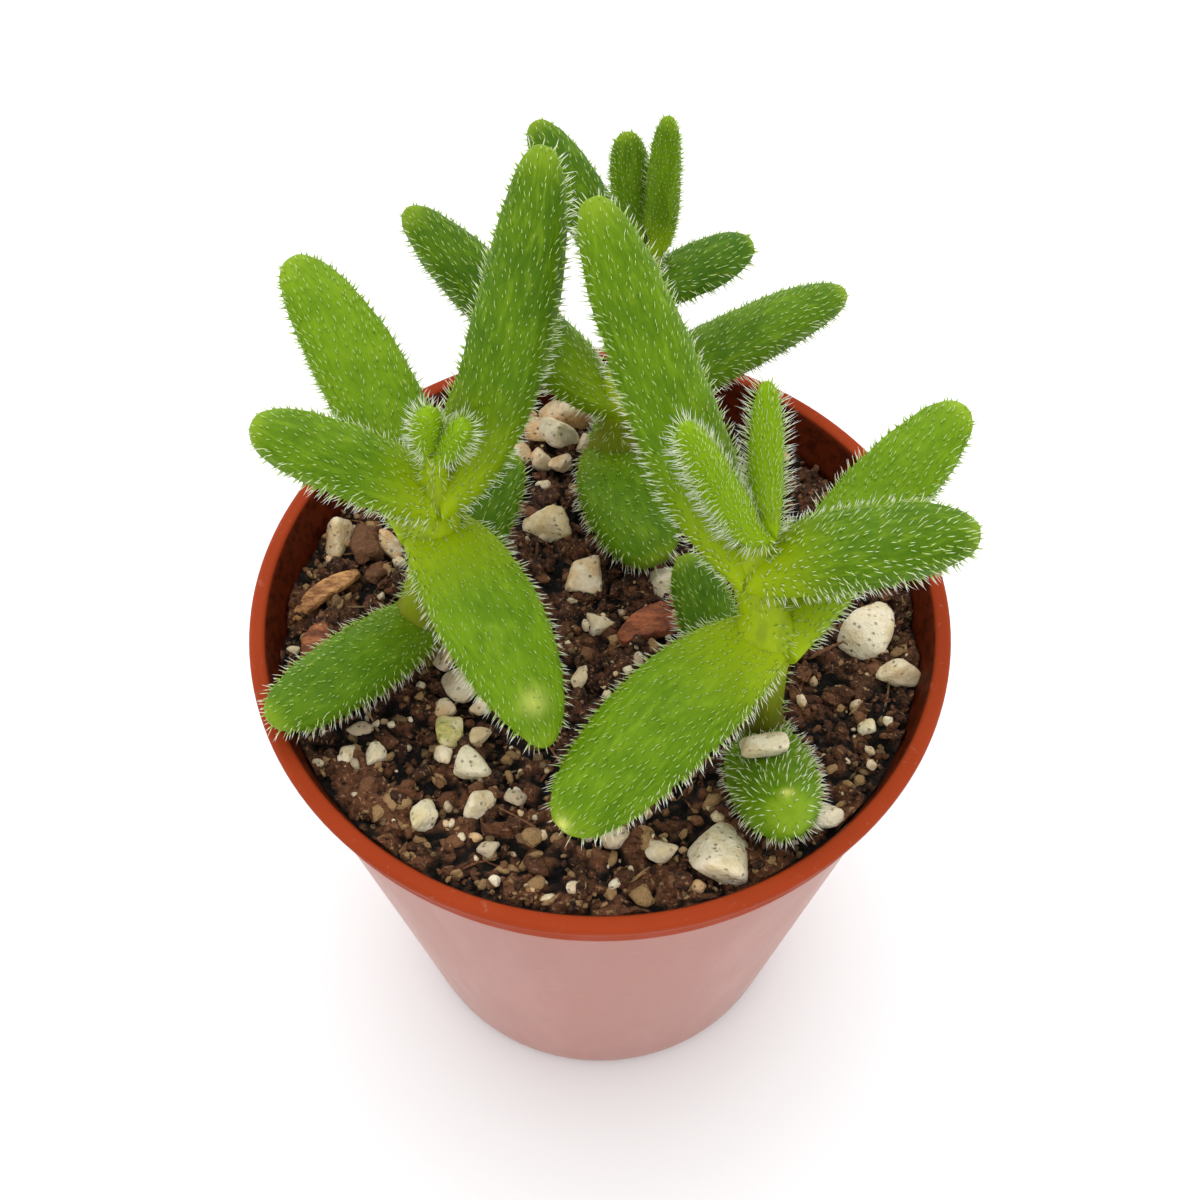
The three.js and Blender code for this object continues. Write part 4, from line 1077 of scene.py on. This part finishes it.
def srgb(r, g, b):
    """A colour as it is read off a screen, 0 to 255, as light."""
    parts = [c / 255 for c in (r, g, b)]
    return (*[p / 12.92 if p <= 0.04045 else ((p + 0.055) / 1.055) ** 2.4 for p in parts], 1.0)


def leaf_material():
    m = Nodes("leaf_skin")
    along, fresh, light = m.value("along"), m.value("fresh"), m.value("light")
    blotch = m.noise(0.28, 4, 0.6)
    fine = m.noise(1.6, 2, 0.5)
    streak = m.noise(2.1, 3, 0.6, m.combine("round_x", "round_y", "run"))
    # Painted light and shade: each leaf's light value mixes a deep green for leaves in shade with a bright
    # green for lit ones.
    deep = m.mix(m.range(blotch, 0.3, 0.7), (56, 92, 0), (76, 112, 0))
    bright = m.mix(m.range(blotch, 0.3, 0.7), (96, 134, 0), (116, 152, 10))
    green = m.mix(light, deep, bright)
    green = m.over(green, (138, 168, 34), streak, 0.45, 0.75, 0.42)
    green = m.over(green, (54, 86, 0), streak, 0.45, 0.25, 0.35)
    # Painted shade: where a leaf's lime is low it is mixed toward a cold dark green; lime also sets how
    # much of the real yellow-lime base shows.
    shaded = m.range(m.value("lime"), 0.0, 0.6, 0.35, 0.0)
    green = m.mix(shaded, green, (52, 94, 18))
    base = m.times(m.range(along, 0.0, 0.48, 0.9, 0.0), m.value("lime"))
    green = m.mix(base, green, (150, 172, 0))
    green = m.mix(m.range(along, 0.9, 1.0, 0.0, 0.45), green, (150, 176, 36))
    green = m.mix(m.times(fresh, 0.75), green, (128, 164, 0))
    # The painted highlight: a pale cream patch on the upper face.
    green = m.mix(m.times(m.value("spot"), 0.7), green, (228, 226, 124))
    m.set("Base Color", green)
    m.set("Roughness", m.range(fine, 0.2, 0.8, 0.45, 0.6))
    m.set("Specular IOR Level", 0.12)
    m.set("Subsurface Weight", 0.35)
    m.set("Subsurface Radius", (0.6, 1.0, 0.1))
    m.set("Subsurface Scale", 0.8 * MM)
    m.bump(m.math("ADD", streak, m.times(fine, 0.5)), 0.12, 0.8)
    return m.material


def bristle_material():
    m = Nodes("bristle")
    root, hair = (116, 152, 14), (238, 242, 214)
    white = m.times(m.range(m.value("rise"), 0.0, 0.7), m.value("pale"))
    green = m.mix(m.range(m.value("rise"), 0.0, 0.7), root, (172, 194, 84))
    m.set("Base Color", m.mix(white, green, hair))
    m.set("Roughness", 0.45)
    m.set("Subsurface Weight", 1.0)
    m.set("Subsurface Radius", (1.0, 1.0, 0.8))
    m.set("Subsurface Scale", 0.15 * MM)
    return m.material


def stem_material():
    m = Nodes("stem_skin")
    height = m.value("height")
    streaks = m.noise(0.8, 3, 0.6, m.scaled(1, 1, 0.3))
    skin = m.mix(m.range(height, 0.0, 0.35), (98, 76, 30), (116, 124, 22))
    skin = m.mix(m.range(height, 0.35, 0.75), skin, (146, 168, 0))
    skin = m.over(skin, (92, 110, 24), streaks, 0.4, 0.75, 0.5)
    m.set("Base Color", skin)
    m.set("Roughness", 0.5)
    m.set("Specular IOR Level", 0.18)
    m.bump(streaks, 0.12, 0.7)
    return m.material


def pot_material(name, sheen, shine):
    m = Nodes(name)
    m.set("Sheen Weight", sheen)
    z = m.height()
    cloud = m.noise(0.05, 4, 0.6)
    streak = m.noise(0.16, 3, 0.6, m.scaled(1, 1, 0.15))
    grain = m.noise(1.2, 3, 0.6)
    clay = m.mix(m.range(cloud, 0.3, 0.7), (156, 60, 28), (144, 52, 22))
    # Below the collar the clay is washed toward a pale, streaked pink: partly dust, partly a painted pale
    # glow of light on the pot's body.
    dust = m.range(z, COLLAR_BOTTOM - 0.8, COLLAR_BOTTOM + 0.6, 1.0, 0.0)
    haze = m.range(streak, 0.25, 0.8, 0.45, 0.8)
    clay = m.mix(m.times(dust, haze), clay, (156, 94, 76))
    clay = m.over(clay, (196, 166, 150), grain, 0.62, 0.75, 0.12)
    # The inside wall is darkened to a deep red-brown: partly soil stain, partly painted shade.
    clay = m.mix(m.value("inside"), clay, m.mix(m.range(grain, 0.3, 0.6), (58, 20, 8), (88, 32, 14)))
    m.set("Base Color", clay)
    m.set("Roughness", m.range(streak, 0.3, 0.7, 0.38, 0.55))
    m.set("Specular IOR Level", shine)
    m.bump(m.math("ADD", grain, m.times(cloud, 2)), 0.03, 0.5)
    return m.material


def soil_material():
    m = Nodes("peat")
    tone = m.value("tone")
    broad = m.noise(0.14, 3, 0.6)
    patch = m.noise(0.8, 3, 0.65)
    fine = m.noise(2.2, 4, 0.7)
    speck = m.noise(2.4, 2, 0.6)
    dark = m.mix(m.range(fine, 0.38, 0.6), (20, 12, 7), (90, 54, 33))
    dark = m.layers(
        dark,
        ((112, 68, 42), patch, 0.5, 0.62, 0.7),
        ((120, 80, 52), broad, 0.5, 0.7, 0.5),
        ((126, 80, 51), tone, 0.4, 0.7, 0.7),
        ((180, 140, 102), speck, 0.59, 0.67, 0.8),
        ((22, 13, 8), speck, 0.4, 0.3, 0.7),
        ((158, 110, 74), tone, 0.7, 0.84, 0.65),
        ((140, 124, 86), tone, 0.88, 0.92, 0.7),
        ((202, 160, 108), tone, 0.95, 0.98, 0.8),
    )
    # Painted shade: where the soil's relief is low the colour goes nearly black; crumbs, clods and fibres
    # get high relief values and stay lit.
    m.set("Base Color", m.mix(m.value("relief"), (14, 8, 4), dark))
    m.set("Roughness", m.range(fine, 0.35, 0.7, 0.95, 0.6))
    m.set("Specular IOR Level", 0.3)
    m.bump(m.math("ADD", fine, speck), 0.55, 0.9)
    return m.material


def pumice_material():
    m = Nodes("pumice_stone")
    patch = m.noise(0.5, 4, 0.6)
    fine = m.noise(2.2, 3, 0.6)
    stone = m.mix(m.range(patch, 0.35, 0.68), (238, 226, 198), (214, 194, 150))
    stone = m.over(stone, (158, 138, 112), m.value("shade"), 0.3, 1.0, 0.75)
    ochre = m.mix(m.range(fine, 0.3, 0.7), (226, 178, 112), (204, 150, 102))
    stone = m.mix(m.times(m.value("warm"), m.range(patch, 0.35, 0.65, 0.25, 0.9)), stone, ochre)
    # The pores are darkened toward brown: painted shade in the hollows.
    pores = m.range(m.cells(1.7), 0.0, 0.3, 1.0, 0.0)
    stone = m.mix(m.times(pores, 0.5), stone, (130, 104, 72))
    lime = m.mix(m.range(fine, 0.35, 0.65), (150, 158, 74), (196, 190, 96))
    stone = m.mix(m.times(m.value("algae"), m.range(patch, 0.3, 0.6, 0.2, 0.9)), stone, lime)
    m.set("Base Color", stone)
    m.set("Roughness", m.range(fine, 0.3, 0.7, 0.8, 0.95))
    m.bump(m.math("SUBTRACT", fine, pores), 0.3, 0.9)
    return m.material


def bark_material():
    m = Nodes("bark_chip")
    grain = m.noise(0.9, 4, 0.7, m.scaled(0.5, 1.4, 1.4))
    fine = m.noise(2.4, 3, 0.6)
    tan = m.mix(m.range(grain, 0.35, 0.65), (132, 82, 42), (222, 166, 104))
    red = m.mix(m.range(grain, 0.35, 0.7), (106, 50, 26), (178, 100, 58))
    m.set("Base Color", m.mix(m.value("red"), tan, red))
    m.set("Roughness", m.range(fine, 0.3, 0.7, 0.6, 0.9))
    m.bump(m.math("ADD", grain, fine), 0.4, 0.9)
    return m.material


# The plant and its pot.


def make_plant():
    leaf_skin, bristle = leaf_material(), bristle_material()
    stem_skin = stem_material()
    seed = 1
    for side_name, shoot in SHOOTS.items():
        stem = make_stem(f"shoot_{side_name}", shoot, [stem_skin, bristle], 40 + seed)
        place(stem, "stem", f"stem_{side_name}")
        for key in PAIRS:
            for side in ("a", "b"):
                young = key == "young"
                name = f"{side_name}_{key}_{side}"
                leaf = make_leaf(f"bristly_{name}", shoot[key], side, young, [leaf_skin, bristle], seed)
                place(leaf, "young_leaf" if young else "leaf", f"leaf_{name}")
                seed += 1


def make_pot_and_soil():
    # The body's plastic carries a painted pale glow as well as dust; the rim's plastic has no sheen.
    body, rim = pot_material("dust_and_glow_plastic", 0.3, 0.15), pot_material("terracotta_plastic", 0.0, 0.04)
    place(make_pot(body, rim), "pot", "pot")
    peat, stone, wood = soil_material(), pumice_material(), bark_material()
    make_soil(peat)
    make_litter(peat, stone)
    make_pumice(stone)
    for index, chip in enumerate(BARK, 1):
        make_bark(chip, f"bark_strip_{index}", f"bark_{index}", wood, 700 + index)


# The stage: a white table, soft light from above and the camera.

TABLE_SIZE = 4.0
TABLE_DROP = 0.0002
ROOM_LIGHT = 1.18
WINDOW_SIZE = 0.8
WINDOW_WATTS = 1.9
WINDOW_DISTANCE = 0.6
LAMP_AIM = (0, 0, 0.05)


def make_stage():
    bpy.ops.mesh.primitive_plane_add(size=TABLE_SIZE, location=(0, 0, -TABLE_DROP))
    table = bpy.context.object
    table.name = "white_table"
    paper = Nodes("white_paper")
    paper.set("Base Color", srgb(244, 246, 247))
    paper.set("Roughness", 0.9)
    table.data.materials.append(paper.material)

    world = bpy.data.worlds.new("white_room")
    bpy.context.scene.world = world
    world.use_nodes = True
    background = world.node_tree.nodes["Background"]
    background.inputs["Color"].default_value = (1.0, 1.0, 1.0, 1.0)
    background.inputs["Strength"].default_value = ROOM_LIGHT
    add_window(azimuth=98, rise=66)


def add_window(azimuth, rise):
    lamp = bpy.data.lights.new("window", "AREA")
    lamp.size, lamp.energy = WINDOW_SIZE, WINDOW_WATTS
    piece = bpy.data.objects.new("window", lamp)
    bpy.context.scene.collection.objects.link(piece)
    aim_at(piece, heading(azimuth, rise) * WINDOW_DISTANCE + LAMP_AIM, LAMP_AIM)


def aim_at(piece, at, target):
    piece.location = at
    way = Vector(target) - Vector(at)
    piece.rotation_mode = "QUATERNION"
    piece.rotation_quaternion = way.to_track_quat("-Z", "Y")


def make_camera():
    lens = bpy.data.cameras.new("camera")
    lens.lens, lens.sensor_width = CAMERA_LENS, SENSOR_WIDTH
    lens.clip_start, lens.clip_end = 0.01, 10.0
    camera = bpy.data.objects.new("camera", lens)
    bpy.context.scene.collection.objects.link(camera)
    rise = math.radians(CAMERA_ELEVATION)
    target = np.array([0, 0, CAMERA_TARGET_HEIGHT])
    at = target + CAMERA_DISTANCE * np.array([0, -math.cos(rise), math.sin(rise)])
    aim_at(camera, at * MM, target * MM)
    bpy.context.scene.camera = camera


make_plant()
make_pot_and_soil()
make_stage()
make_camera()
bpy.context.scene.view_settings.view_transform = "Standard"
